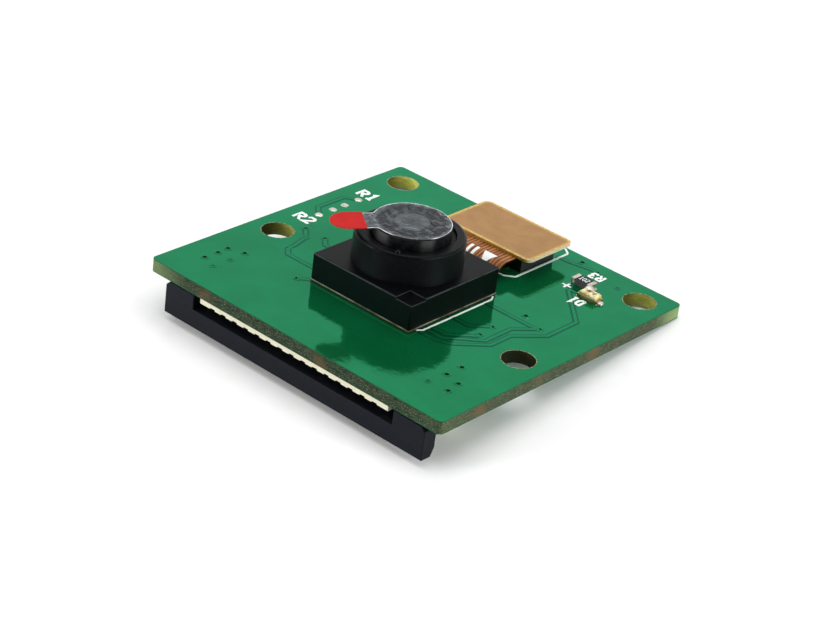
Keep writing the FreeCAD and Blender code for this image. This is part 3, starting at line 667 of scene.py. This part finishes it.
# ---- solder
DOME = [(1, -SUNK), (0.98, 0.3), (0.86, 0.66), (0.62, 0.9), (0.3, 1)]
FILLET = [(1, -SUNK), (0.97, 0.06), (0.8, 0.16), (0.58, 0.38), (0.42, 0.72), (0.36, 1)]


def heap(mesh, centre, half_x, half_y, height, foot=BOARD_TOP, up=1, form=DOME, square=2.6):
    """A small mound of solder: domed when it sits alone, hollow where it climbs a part."""
    profile = [(radius, level * height if level > 0 else level) for radius, level in form]
    mesh.turned(centre, profile, foot, up, 16, stretch=(half_x, half_y), square=square)


def add_pad_domes(solder):
    """The four bare pads, two by two, with their uneven tinning: the outer ones are fuller."""
    mesh = Mesh()
    low, high = span("bare_pads")
    half = 0.26
    pitch = 1.4
    middle = (low.x + high.x) / 2
    for y in (low.y + half, high.y - half):
        heap(mesh, (middle, y), half * 1.12, half, 0.085, square=2.3)
    for y in (low.y + half + pitch, high.y - half - pitch):
        heap(mesh, (middle, y), half * 1.02, half, 0.06, square=3.6)
    domes = mesh.piece("tinned_pads", [solder], smooth=True)
    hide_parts("bare_pads")


def add_top_solder(solder):
    """Solder that climbs the ends of the lamp and of its resistor."""
    mesh = Mesh()
    for node, reach, height in (("resistor_terminals", 0.09, 0.16), ("lamp_terminals", 0.12, 0.12)):
        low, high = span(node)
        for x in (low.x, high.x):
            heap(mesh, (x, (low.y + high.y) / 2), reach, (high.y - low.y) / 2 + 0.02, height,
                 form=FILLET, square=4)
    lamp_low, lamp_high = span("lamp_terminals")
    heap(mesh, (lamp_high.x + 0.14, lamp_low.y + 0.28), 0.22, 0.26, 0.2, square=2.2)
    heap(mesh, (span("resistor_terminals")[1].x, lamp_high.y + 0.22), 0.34, 0.4, 0.46, square=2.4)
    mesh.piece("top_solder", [solder], smooth=True)


# ---- lamp and resistor
def lamp_resin_finish():
    """Honey-coloured resin with dark flecks where the die and its wire show through."""
    look = Finish("lamp_resin", Subsurface_Weight=0.2, Subsurface_Scale=0.2 * MM,
                  Subsurface_Radius=(1, 0.7, 0.25), Coat_Weight=0.4, Coat_Roughness=0.08)
    cloud = look.noise(2.2, detail=4)
    glow = look.tone(cloud, (0.6, 0.47, 0.17), (0.88, 0.8, 0.46), 0.35, 0.65)
    look.colour(look.tone(look.noise(5.5, detail=2), glow, (0.22, 0.1, 0.02), 0.62, 0.68))
    look.rough(cloud, 0.15, 0.4)
    look.bump(cloud, 0.05)
    return look


def add_lamp_details(gold, dark):
    """The die, its cup, its bond wire and its far terminal, pressed up against the resin's top face."""
    low, high = span("lamp_dome")
    x, y, foot = (low.x + high.x) / 2, (low.y + high.y) / 2, high.z
    die = (x - 0.12, y + 0.02)
    mesh = Mesh()
    mesh.turned(die, [(0.2, -0.05), (0.19, 0.012), (0.13, 0.016), (0.11, 0.006)], foot)
    mesh.turned(die, [(0.085, 0), (0.08, 0.026), (0.06, 0.028)], foot, steps=16, inks=(1, 1), square=6)
    wire = [(x - 0.06, y + 0.04), (x + 0.14, y + 0.1), (x + 0.34, y + 0.02)]
    ribbon(mesh, rounded(wire, 0.08), 0.05, 0.024, foot)
    ribbon(mesh, [(x + 0.3, low.y + 0.18), (x + 0.42, high.y - 0.2)], 0.07, 0.012, foot, inks=[1] * 4)
    mesh.piece("lamp_die_and_wire", [gold, dark])


def add_resistor_marks(ink):
    """A pale three-digit value on the resistor's glaze."""
    low, high = span("resistor_body")
    mesh = Mesh()
    write(mesh, "102", ((low.x + high.x) / 2, (low.y + high.y) / 2), 0.43, high.z, weight=0.05,
          rise=0.008, stretch=0.7)
    mesh.piece("resistor_marks", [ink])


def resistor_finish():
    """Black glaze on top, grey ceramic on the sides."""
    look = Finish("resistor_glaze", Specular_IOR_Level=0.08)
    level = look.math("ABSOLUTE", look.facing()[2])
    grain = look.noise(9, detail=4)
    ceramic = look.tone(grain, (0.12, 0.12, 0.13), (0.19, 0.19, 0.2))
    glaze = look.tone(grain, (0.006, 0.006, 0.007), (0.012, 0.012, 0.013))
    look.colour(look.tone(level, ceramic, glaze, 0.5, 0.8))
    look.rough(grain, 0.28, 0.42)
    look.bump(grain, 0.006)
    return look


# ---- flex lead and its stiffener
FLEX_START = 0.45
FLEX_RUN = 1.9
FLEX_THICK = 0.08
BEND_STEPS = 10
RIGHT_ANGLE = pi / 2


def flex_profile(lift):
    """Points along the flex's upper skin, raised by lift: flat, an S-bend, then flat again."""
    low, high = span("flex_circuit")
    holder_back = span("lens_holder")[1].y
    level = low.z + FLEX_THICK
    start = holder_back + FLEX_START
    turn = 2 * atan2(high.z - level, FLEX_RUN)
    bend = FLEX_RUN / (2 * sin(turn))
    inner, outer = bend - FLEX_THICK / 2, bend + FLEX_THICK / 2
    rise = arc((start, level + inner), inner - lift, -RIGHT_ANGLE, turn - RIGHT_ANGLE, BEND_STEPS)
    crest = arc((start + FLEX_RUN, high.z - outer), outer + lift, turn + RIGHT_ANGLE, RIGHT_ANGLE, BEND_STEPS)
    plate_front = span("stiffener")[0].y
    return [(holder_back + 0.02, level + lift)] + rise + crest[1:] + [(plate_front - 0.01, high.z + lift)]


def flex_strip(mesh, left, right, rise, rows=slice(None), sunk=SUNK):
    """A raised strip that follows the flex, or some rows of its points, between two X places."""
    skin = flex_profile(rise)[rows]
    under = flex_profile(-sunk)[rows]
    sides = ((left, under), (left, skin), (right, skin), (right, under))
    mesh.shell([[(x, y, z) for y, z in points] for x, points in sides])


def add_flex_tracks(copper):
    """Fine tracks that run from the sensor to the plug, with a broad one along each edge."""
    half = 3.1
    margin = 0.25
    count = 21
    pitch = 2 * (half - margin) / count
    mesh = Mesh()
    for index in range(count):
        middle = -half + margin + pitch * (index + 0.5)
        width = 0.13 if index % 5 else 0.18
        flex_strip(mesh, middle - width / 2, middle + width / 2, 0.012)
    for edge in (-half + 0.02, half - 0.12):
        flex_strip(mesh, edge, edge + 0.1, 0.014)
    mesh.piece("flex_tracks", [copper])


def add_flex_print(ink):
    """A plain generic mark on the flex: a solid triangle and two bars, all white."""
    mesh = Mesh()
    rows = range(BEND_STEPS + 1, 2 * BEND_STEPS + 1)
    for number, row in enumerate(rows):
        half = (number + 1) / len(rows) / 2
        for left, right in ((1.7 - half, 1.7 + half), (0.5, 0.72), (0.02, 0.24)):
            flex_strip(mesh, left, right, 0.026, slice(row, row + 2), sunk=0)
    mesh.piece("flex_mark", [ink])


def flex_finish(name, dark, light):
    """Amber film over copper: glossy, with colour that shifts along the tracks, dark at its cut edges."""
    look = Finish(name, Specular_IOR_Level=0.3)
    along = look.noise(1.4, detail=4, squeeze=(3.5, 0.5, 0.5))
    fine = look.noise(9, detail=4)
    face = look.tone(along, dark, light, 0.35, 0.65)
    level = look.math("ABSOLUTE", look.facing()[2])
    look.colour(look.tone(level, (0.03, 0.014, 0.006), face, 0.15, 0.35))
    look.rough(fine, 0.25, 0.38)
    look.bump(fine, 0.006)
    return look


def stiffener_finish():
    """Smooth tan laminate whose rim is golden and whose fibrous cut sides carry painted light and shade: pale
    where they face right or back, darker brown in front.
    """
    look = Finish("stiffener_tan", Specular_IOR_Level=0.3)
    low, high = span("stiffener")
    right, back, up = look.facing()
    cloud = look.noise(0.9, detail=5)
    weave = look.noise(6, detail=4)
    face = look.tone(cloud, (0.305, 0.15, 0.042), (0.35, 0.18, 0.054))
    gold = look.tone(weave, (0.44, 0.27, 0.05), (0.7, 0.5, 0.14), 0.35, 0.65)
    face = look.tone(look.from_edges(low, high, 0.5), face, gold, 0.34, 0.05)
    layers = look.noise(2, detail=5, squeeze=(1.2, 1.2, 16), roughness=0.7)
    # painted light and shade on the cut sides: the front is darker brown with a painted highlight along its
    # top, and the sides facing right or back are pale
    front = look.tone(layers, (0.22, 0.09, 0.02), (0.62, 0.38, 0.09), 0.35, 0.65)
    front = look.tone(look.axes()[2], front, (0.66, 0.44, 0.12), high.z - 0.09, high.z - 0.03)
    pale = look.tone(layers, (0.42, 0.34, 0.2), (0.86, 0.8, 0.62), 0.35, 0.65)
    sides = look.tone(look.math("ABSOLUTE", right), front, pale, 0.4, 0.8)
    sides = look.tone(back, sides, pale, 0.4, 0.8)
    look.colour(look.tone(up, sides, face, 0.4, 0.7))
    look.rough(weave, 0.34, 0.48)
    look.bump(cloud, 0.004)
    look.bump(weave, 0.004)
    return look


# ---- protective film and its tab
FILM_TURN = radians(232.5)
FILM_CENTRE = LENS + Vector((0, 0.05))
FILM_RADIUS = 2.54
FILM_THICK = 0.045
FILM_CHAMFER = 0.012
NECK_HALF = 1
NECK_END = 3.2
NECK_FILLET = 0.42
TAB_START = 3.1
TAB_HALF = 1.15
TAB_END = 5.34
TAB_THICK = 0.045
TAB_SUNK = 0.004
TAB_DROOP = 0.15
BARREL_RING = 2.02
PUPIL = 0.6
RIM_SHADE = radians(312)


def film_place(along, side, height):
    """A place on the film, given along and beside its neck; beyond the disc it droops."""
    beyond = max(0, along - FILM_RADIUS) / (TAB_END - FILM_RADIUS)
    x, y = FILM_CENTRE + Matrix.Rotation(FILM_TURN, 2) @ Vector((along, side))
    return (x, y, span("protective_film")[0].z + height - TAB_DROOP * beyond)


def mirrored(half):
    """One side of an outline turned into its other side, in reverse."""
    return [(along, -side) for along, side in reversed(half)]


def film_outline():
    """The disc's edge from the neck's one side to the other, with a hollow curve into the neck."""
    side = NECK_HALF + NECK_FILLET
    along = sqrt((FILM_RADIUS + NECK_FILLET) ** 2 - side ** 2)
    meet = atan2(side, along)
    hollow = [(NECK_END, NECK_HALF)] + arc((along, side), NECK_FILLET, -RIGHT_ANGLE, meet - pi, 7)
    disc = arc((0, 0), FILM_RADIUS, meet, 2 * pi - meet, 56)
    return hollow + disc[1:-1] + mirrored(hollow)


def tab_outline():
    """The tongue's straight sides and its round end."""
    middle = TAB_END - TAB_HALF
    straight = [(TAB_START + (middle - TAB_START) * part / 5, TAB_HALF) for part in range(5)]
    tip = arc((middle, 0), TAB_HALF, RIGHT_ANGLE, -RIGHT_ANGLE, 14)
    return straight + tip + mirrored(straight)


def plate_from(mesh, outline, low, high):
    """A thin plate with a chamfered edge, from an outline on the film."""
    inner = beside(outline, FILM_CHAMFER, ring=True)
    levels = ((inner, low), (outline, low + FILM_CHAMFER), (outline, high - FILM_CHAMFER), (inner, high))
    mesh.stack([[film_place(along, side, height) for along, side in path] for path, height in levels])


def film_finish():
    """Clear film: specks of air where it sticks to the barrel's ring, and a haze over the lens."""
    look = Finish("film_clear", IOR=1.12)
    away = look.away_from(FILM_CENTRE)
    specks = look.noise(3.6, detail=2.5, roughness=0.6)
    streaks = look.noise(1.3)
    haze = look.math("ADD", look.ramp(specks, 0.42, 0.62, -0.03, 0.046),
                     look.ramp(streaks, 0.35, 0.65, -0.012, 0.008))
    pressed = look.ramp(look.gap(away, BARREL_RING), 0.05, 0.14, 0.35, 1)
    outer = look.ramp(away, 2.1, 2.45, 0.004, 0.06)
    haze = look.math("ADD", look.times(haze, pressed), outer)
    window = look.math("ADD", look.ramp(away, 0.45, 0.55, 0.026, 0.041),
                       look.ramp(look.gap(away, PUPIL), 0.02, 0.09, -0.022, 0),
                       look.ramp(specks, *NOISE_RANGE, -0.008, 0.01))
    haze = look.blend(look.ramp(away, 1.2, 1.1), haze, window)
    look.put("Transmission Weight", look.less(1, haze))
    look.colour(look.tone(streaks, (0.82, 0.88, 0.93), (0.88, 0.93, 0.97)))
    look.rough(specks, 0.08, 0.16)
    look.bump(streaks, 0.006)
    return look


def film_rim_finish():
    """The film's cut edge: a painted glint, near white in broken patches, with painted shade for a stretch
    round RIM_SHADE.
    """
    look = Finish("film_edge_painted_glint", Specular_IOR_Level=0.4)
    fine = look.noise(7, detail=2)
    x, y, _ = look.axes()
    toward = look.toward(look.less(x, FILM_CENTRE.x),
                         look.less(y, FILM_CENTRE.y),
                         (cos(RIM_SHADE), sin(RIM_SHADE)))
    # painted glint: the edge's colour goes near white in patches, and dark towards RIM_SHADE as painted shade
    bright = look.times(look.ramp(fine, 0.3, 0.5, 0.6, 1),
                        look.ramp(look.noise(0.7, detail=2), 0.35, 0.55, 0.35, 1),
                        look.ramp(toward, 2.36, 2.1))
    look.colour(look.blend(bright, (0.025, 0.026, 0.028), (0.86, 0.88, 0.9)))
    look.rough(fine, 0.2, 0.35)
    return look


def add_film(clear, bright, red):
    """The film, a fine bead whose painted glint stands for its bright cut edge, and its red tongue."""
    disc = Mesh()
    outline = film_outline()
    plate_from(disc, outline, 0, FILM_THICK)
    film = disc.piece("peel_film", [clear], "film")
    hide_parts("protective_film")

    rim = Mesh()
    rails = []
    for aside, up in arc((0, FILM_THICK / 2), 0.026, 0, 2 * pi, 6)[:-1]:
        rails.append([film_place(along, side, up) for along, side in beside(outline, aside)])
    rim.shell(rails)
    rim.piece("peel_film_rim", [bright], "film", smooth=True)

    tongue = Mesh()
    plate_from(tongue, list(reversed(tab_outline())), FILM_THICK - TAB_SUNK, FILM_THICK + TAB_THICK)
    tab = tongue.piece("peel_tab", [red], "film")
    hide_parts("pull_tab")


# ---- the underside
UNDER = 0
RIBBON_WAYS = 15
RIBBON_PITCH = 1
MIDDLE_WAY = RIBBON_WAYS // 2
UNDER_VIAS = [(-10.5, -9.4), (-8.6, -1.2), (-6.2, 1.6), (-3.4, 2.4), (0.2, 3.1), (3.6, 2.2), (6.4, 1.4),
              (8.6, -0.9), (-9.2, 3.3), (9.3, 2.7), (-2.1, 6.6), (2.3, 6.9), (5.4, 6.2), (-5.6, 6.3)]
UNDER_PATHS = [
    [(-8.6, -1.2), (-8.6, 2.2), (-9.2, 3.3)],
    [(-6.2, 1.6), (-6.2, 4.4), (-5.6, 5), (-5.6, 6.3)],
    [(-3.4, 2.4), (-3.4, 5.4), (-2.1, 6.6)],
    [(0.2, 3.1), (0.2, 5.2), (2.3, 6.9)],
    [(3.6, 2.2), (3.6, 4.6), (5.4, 6.2)],
    [(6.4, 1.4), (8, 1.4), (9.3, 2.7)],
    [(8.6, -0.9), (6.9, -0.9), (3.6, 2.2)],
    [(-8.6, -1.2), (-7.5, -2.3)],
    [(2.4, -2.6), (2.4, 0.4), (0.2, 3.1)],
]


def islands(node):
    """The lowest and highest corners, in millimetres, of each separate solid of a node, left to right."""
    mesh = bmesh.new()
    mesh.from_mesh(NODES[node].data)
    bmesh.ops.remove_doubles(mesh, verts=mesh.verts, dist=1e-6)
    seen = set()
    boxes = []
    for seed in mesh.verts:
        if seed in seen:
            continue
        seen.add(seed)
        group = [seed]
        for corner in group:
            fresh = {edge.other_vert(corner) for edge in corner.link_edges} - seen
            seen |= fresh
            group.extend(fresh)
        sides = list(zip(*[corner.co / MM for corner in group]))
        boxes.append((Vector(map(min, sides)), Vector(map(max, sides))))
    mesh.free()
    return sorted(boxes, key=lambda box: (box[0].x, box[0].y))


def contact_places():
    """X of each of the ribbon contacts' tails, counted from the middle one."""
    first = span("ribbon_contacts")[0].x + 0.15
    return [(index - MIDDLE_WAY, first + index * RIBBON_PITCH) for index in range(RIBBON_WAYS)]


def add_underside_tracks(finishes):
    """A fan of tracks from the ribbon's contacts, and the longer runs between the vias."""
    start = span("ribbon_contacts")[1].y - 0.1
    paths = []
    for place, x in contact_places():
        bend = start + 0.5 + 0.18 * abs(place)
        paths.append([(x, start), (x, bend), (x + 0.35 * place / MIDDLE_WAY, bend + 0.35)])
    add_tracks("underside_tracks", paths + UNDER_PATHS, UNDER_VIAS, [], UNDER, -1, finishes)


def add_underside_solder(solder):
    """Fillets at the ribbon's contacts and hold-down tabs, and at every lead and chip terminal."""
    mesh = Mesh()

    def fillet(x, y, half_x, half_y, height, square=4):
        heap(mesh, (x, y), half_x, half_y, height, UNDER, -1, FILLET, square)

    tails_back = span("ribbon_contacts")[1].y
    for _, x in contact_places():
        fillet(x, tails_back + 0.02, 0.24, 0.36, 0.15, 3.5)
    low, high = span("hold_down_tabs")
    for x in (low.x + 0.1, high.x - 0.1):
        fillet(x, (low.y + high.y) / 2, 0.42, 0.78, 0.26)
    for node, out_x, out_y, height in (("regulator_leads", 0.12, 0.1, 0.1),
                                       ("transistor_leads", 0.12, 0.1, 0.1),
                                       ("capacitor_terminals", 0.13, 0.05, 0.2),
                                       ("underside_terminals", 0.13, 0.05, 0.2)):
        for low, high in islands(node):
            middle, half = (low + high) / 2, (high - low) / 2
            fillet(middle.x, middle.y, half.x + out_x, half.y + out_y, height)
    mesh.piece("underside_solder", [solder], smooth=True)


def add_underside_legend(ink):
    """Lines beside the packages and the connector, and their designators."""
    mesh = Mesh()

    def line(x, front, back, width=0.12):
        ribbon(mesh, [(x, front), (x, back)], width, INK_RISE, UNDER, -1)

    for node in ("regulator_bodies", "transistor_body", "clock_base"):
        for low, high in islands(node):
            for x in (low.x - 0.22, high.x + 0.22):
                line(x, low.y + 0.05, high.y - 0.05)
    low, high = span("ribbon_housing")
    for x in (low.x - 0.35, high.x + 0.35):
        line(x, low.y + 0.3, span("hold_down_tabs")[0].y - 0.35, 0.14)
    write(mesh, "J1", (-10.9, -8), 1, UNDER, -1, weight=0.16)
    write(mesh, "1", (-8.2, -8.3), 0.8, UNDER, -1, weight=0.14)
    for number, (low, high) in enumerate(islands("regulator_bodies")):
        write(mesh, f"U{number + 1}", ((low.x + high.x) / 2, high.y + 1.25), 0.8, UNDER, -1, weight=0.13)
    for number, (low, high) in enumerate(islands("underside_capacitors")[:3]):
        write(mesh, f"C{number + 1}", ((low.x + high.x) / 2, low.y - 0.62), 0.66, UNDER, -1, weight=0.11)
    mesh.piece("underside_legend", [ink])


# ---- finishes of the CAD nodes
def barrel_finish():
    """Satin black plastic with a painted sheen on two upright stretches, and a grey front funnel that is
    painted light.
    """
    look = Finish("barrel_black")
    right, back, up = look.facing()
    # painted sheen: the specular level is raised on two upright stretches set by the camera's azimuth,
    # standing in for highlights
    across = look.toward(right, back, direction(VIEW_AZIMUTH + RIGHT_ANGLE, 0))
    painted_sheen = look.math("MAXIMUM", look.near(across, -0.66, 0.04, 0.26), look.near(across, 0.44, 0.04, 0.26))
    painted_sheen = look.ramp(painted_sheen, 0, 1, 0.1, 1)
    look.put("Specular IOR Level", look.blend(look.ramp(up, 0.3, 0.7), painted_sheen, 0.1))
    away = look.away_from(LENS)
    funnel = look.ramp(away, 1.25, 1.1)
    ring = look.near(away, BARREL_RING + 0.02, 0.05, 0.13)
    cloud = look.noise(2.5, detail=6, roughness=0.75)
    fine = look.noise(14)
    outer = look.tone(cloud, (0.0012, 0.0013, 0.0015), (0.008, 0.009, 0.01), 0.4, 0.62)
    outer = look.blend(ring, outer, (0.0008, 0.0008, 0.001))
    # painted light: the funnel's grey stands in for the front lens's reflection seen through the film
    inner = look.tone(cloud, (0.045, 0.048, 0.052), (0.075, 0.08, 0.086), 0.4, 0.62)
    look.colour(look.blend(funnel, outer, inner))
    look.put("Roughness", look.blend(funnel, look.ramp(fine, *NOISE_RANGE, 0.46, 0.52), 0.6))
    look.bump(fine, 0.003)
    return look


HOLDER_STEP = 2.95
HOLDER_NOTCH = 1.35
HOLDER_NOTCH_FLOOR = 2.83


def holder_finish():
    """Satin black plastic; a painted highlight runs along the sharp edges of its base and of the corner
    notch, broken up by noise.
    """
    look = mottled("holder_black", (0.0012, 0.0014, 0.0016), (0.0024, 0.0027, 0.003), 0.36, 16,
                   bump=0.006, dust=0.06, Specular_IOR_Level=0.09, Specular_Tint=(0.84, 0.94, 1))
    x, y, z = look.axes()
    low, high = span("lens_holder")
    notch_x, notch_y = high.x - HOLDER_NOTCH, low.y + HOLDER_NOTCH
    past_x = look.ramp(x, notch_x - 0.03, notch_x)
    past_y = look.ramp(y, notch_y + 0.03, notch_y)
    inside = look.from_edges(low, high, 0.02)
    top = look.math("MAXIMUM", look.ramp(inside, 0.08, 0.03),
                    look.times(look.near(x, notch_x, 0.02, 0.06), past_y),
                    look.times(look.near(y, notch_y, 0.02, 0.06), past_x))
    top = look.times(top, look.near(z, HOLDER_STEP, 0.05, 0.09))
    floor = look.times(look.ramp(inside, 0.07, 0.02), past_x, past_y,
                       look.near(z, HOLDER_NOTCH_FLOOR, 0.02, 0.05))
    # painted highlight along the base's top edges and the notch's edges, broken into patches by noise
    highlight_breakup = look.ramp(look.noise(1.5, detail=2), 0.3, 0.6, 0.4, 1)
    painted_edge_highlight = look.times(look.math("MAXIMUM", top, floor), highlight_breakup)
    look.colour(look.blend(painted_edge_highlight, look.driven("Base Color"), (0.04, 0.044, 0.048)))
    return look


def dress_plain_nodes(solder, gold):
    """The nodes that one mottled finish covers."""
    give(solder, "bare_pads", "resistor_terminals", "capacitor_terminals", "underside_terminals")
    give(gold, "socket_contacts", "plug_contacts", "lamp_terminals")
    give(mottled("slider_black", (0.0028, 0.0034, 0.0058), (0.0048, 0.0058, 0.0092), 0.42, 18, dust=0.05,
                 Specular_IOR_Level=0.12, Specular_Tint=(0.72, 0.84, 1)), "connector_slider")
    give(mottled("housing_cream", (0.72, 0.69, 0.5), (0.78, 0.75, 0.58), 0.45, 12), "ribbon_housing")
    give(mottled("glue", (0.001, 0.001, 0.0012), (0.002, 0.002, 0.0022), 0.18, 8,
                 Specular_IOR_Level=0.12), "glue_dot")
    give(mottled("substrate_edge", (0.05, 0.046, 0.026), (0.3, 0.28, 0.2), 0.45, 3.5), "sensor_substrate")
    give(mottled("tape_black", (0.01, 0.01, 0.01), (0.02, 0.02, 0.02), 0.7, 10), "module_tape")
    give(mottled("plug_black", (0.008, 0.008, 0.008), (0.013, 0.013, 0.014), 0.4, 14),
         "board_socket", "flex_plug")
    give(mottled("tin_plate", (0.55, 0.55, 0.53), (0.68, 0.68, 0.66), 0.32, 10, Metallic=1),
         "ribbon_contacts", "hold_down_tabs", "regulator_leads", "transistor_leads")
    give(mottled("capacitor_tan", (0.3, 0.21, 0.13), (0.38, 0.27, 0.17), 0.5, 9),
         "underside_capacitors", "module_capacitors")
    give(mottled("package_black", (0.014, 0.014, 0.015), (0.022, 0.022, 0.024), 0.5, 22, bump=0.008),
         "regulator_bodies", "transistor_body")
    give(mottled("clock_ceramic", (0.16, 0.12, 0.08), (0.2, 0.15, 0.1), 0.55, 10), "clock_base")
    give(mottled("clock_lid", (0.5, 0.5, 0.49), (0.62, 0.62, 0.6), 0.25, 8, Metallic=1), "clock_lid")
    give(mottled("lamp_laminate", (0.26, 0.18, 0.07), (0.42, 0.32, 0.13), 0.5, 10), "lamp_base")
    give(mottled("silicon", (0.05, 0.05, 0.07), (0.08, 0.08, 0.11), 0.1, 3, bump=0), "image_sensor")
    give(mottled("filter_glass", (0.5, 0.75, 0.8), (0.6, 0.8, 0.85), 0.05, 2, bump=0,
                 Transmission_Weight=0.9), "infrared_filter")
    give(mottled("lens_clear", (0.8, 0.84, 0.9), (0.84, 0.88, 0.92), 0.03, 2, bump=0,
                 Transmission_Weight=0.95), "front_lens", "second_lens", "third_lens", "rear_lens")
    give(mottled("stop_black", (0.006, 0.006, 0.006), (0.01, 0.01, 0.01), 0.5, 12),
         "aperture_stop", "lens_spacers", "retaining_ring")


# how far each node's sharp edges are rounded
EDGE_WIDTHS = {
    0.015: ["lamp_base"],
    0.02: ["ribbon_housing", "resistor_body", "underside_resistors", "underside_terminals"],
    0.025: ["circuit_board"],
    0.03: ["lens_holder", "connector_slider", "board_socket", "resistor_terminals", "regulator_leads",
           "transistor_leads", "hold_down_tabs", "underside_capacitors", "capacitor_terminals"],
    0.035: ["stiffener"],
    0.04: ["lamp_dome", "clock_base"],
    0.06: ["regulator_bodies", "transistor_body"],
    0.08: ["clock_lid"],
}


# ---- the scene
add_camera()
add_floor()
add_studio()

solder = solder_finish()
gold = mottled("gold_flash", (0.45, 0.29, 0.1), (0.66, 0.47, 0.22), 0.34, 10, Metallic=1)
legend_ink = mottled("legend_ink", (0.84, 0.88, 0.86), (0.94, 0.96, 0.95), 0.6, 9, bump=0.003)
dark_fleck = mottled("lamp_fleck", (0.05, 0.02, 0.008), (0.12, 0.05, 0.015), 0.4, 9)
copper = flex_finish("flex_copper", (0.3, 0.09, 0.016), (0.44, 0.16, 0.034))
tab_red = mottled("tab_red", (0.43, 0.006, 0.005), (0.49, 0.009, 0.007), 0.42, 5, Specular_IOR_Level=0.07)
track_finishes = [
    mask_finish("track_mask", MASK_DARK, MASK_LIGHT),
    mask_finish("track_edge", (0.0015, 0.06, 0.028), (0.0022, 0.08, 0.036)),
    # the vias' pits are painted near black, a painted shade standing in for the hole's depth
    mottled("via_pit_painted_shade", (0.0004, 0.004, 0.0022), (0.0008, 0.01, 0.005), 0.5, 8, Specular_IOR_Level=0.05),
]

give(board_finish(), "circuit_board")
give(holder_finish(), "lens_holder")
give(barrel_finish(), "lens_barrel")
give(stiffener_finish(), "stiffener")
give(flex_finish("flex_amber", (0.1, 0.026, 0.006), (0.19, 0.058, 0.012)), "flex_circuit")
give(resistor_finish(), "resistor_body", "underside_resistors")
give(lamp_resin_finish(), "lamp_dome")
dress_plain_nodes(solder, gold)
for width, names in EDGE_WIDTHS.items():
    for name in names:
        soften(NODES[name], width)

add_tracks("top_tracks", TRACK_PATHS, VIA_PLACES, TENTED_PLACES, BOARD_TOP, 1, track_finishes)
add_top_legend(legend_ink)
add_pad_domes(solder)
add_top_solder(solder)
add_lamp_details(gold, dark_fleck)
add_resistor_marks(legend_ink)
add_flex_tracks(copper)
add_flex_print(legend_ink)
add_film(film_finish(), film_rim_finish(), tab_red)
add_underside_tracks(track_finishes)
add_underside_solder(solder)
add_underside_legend(legend_ink)
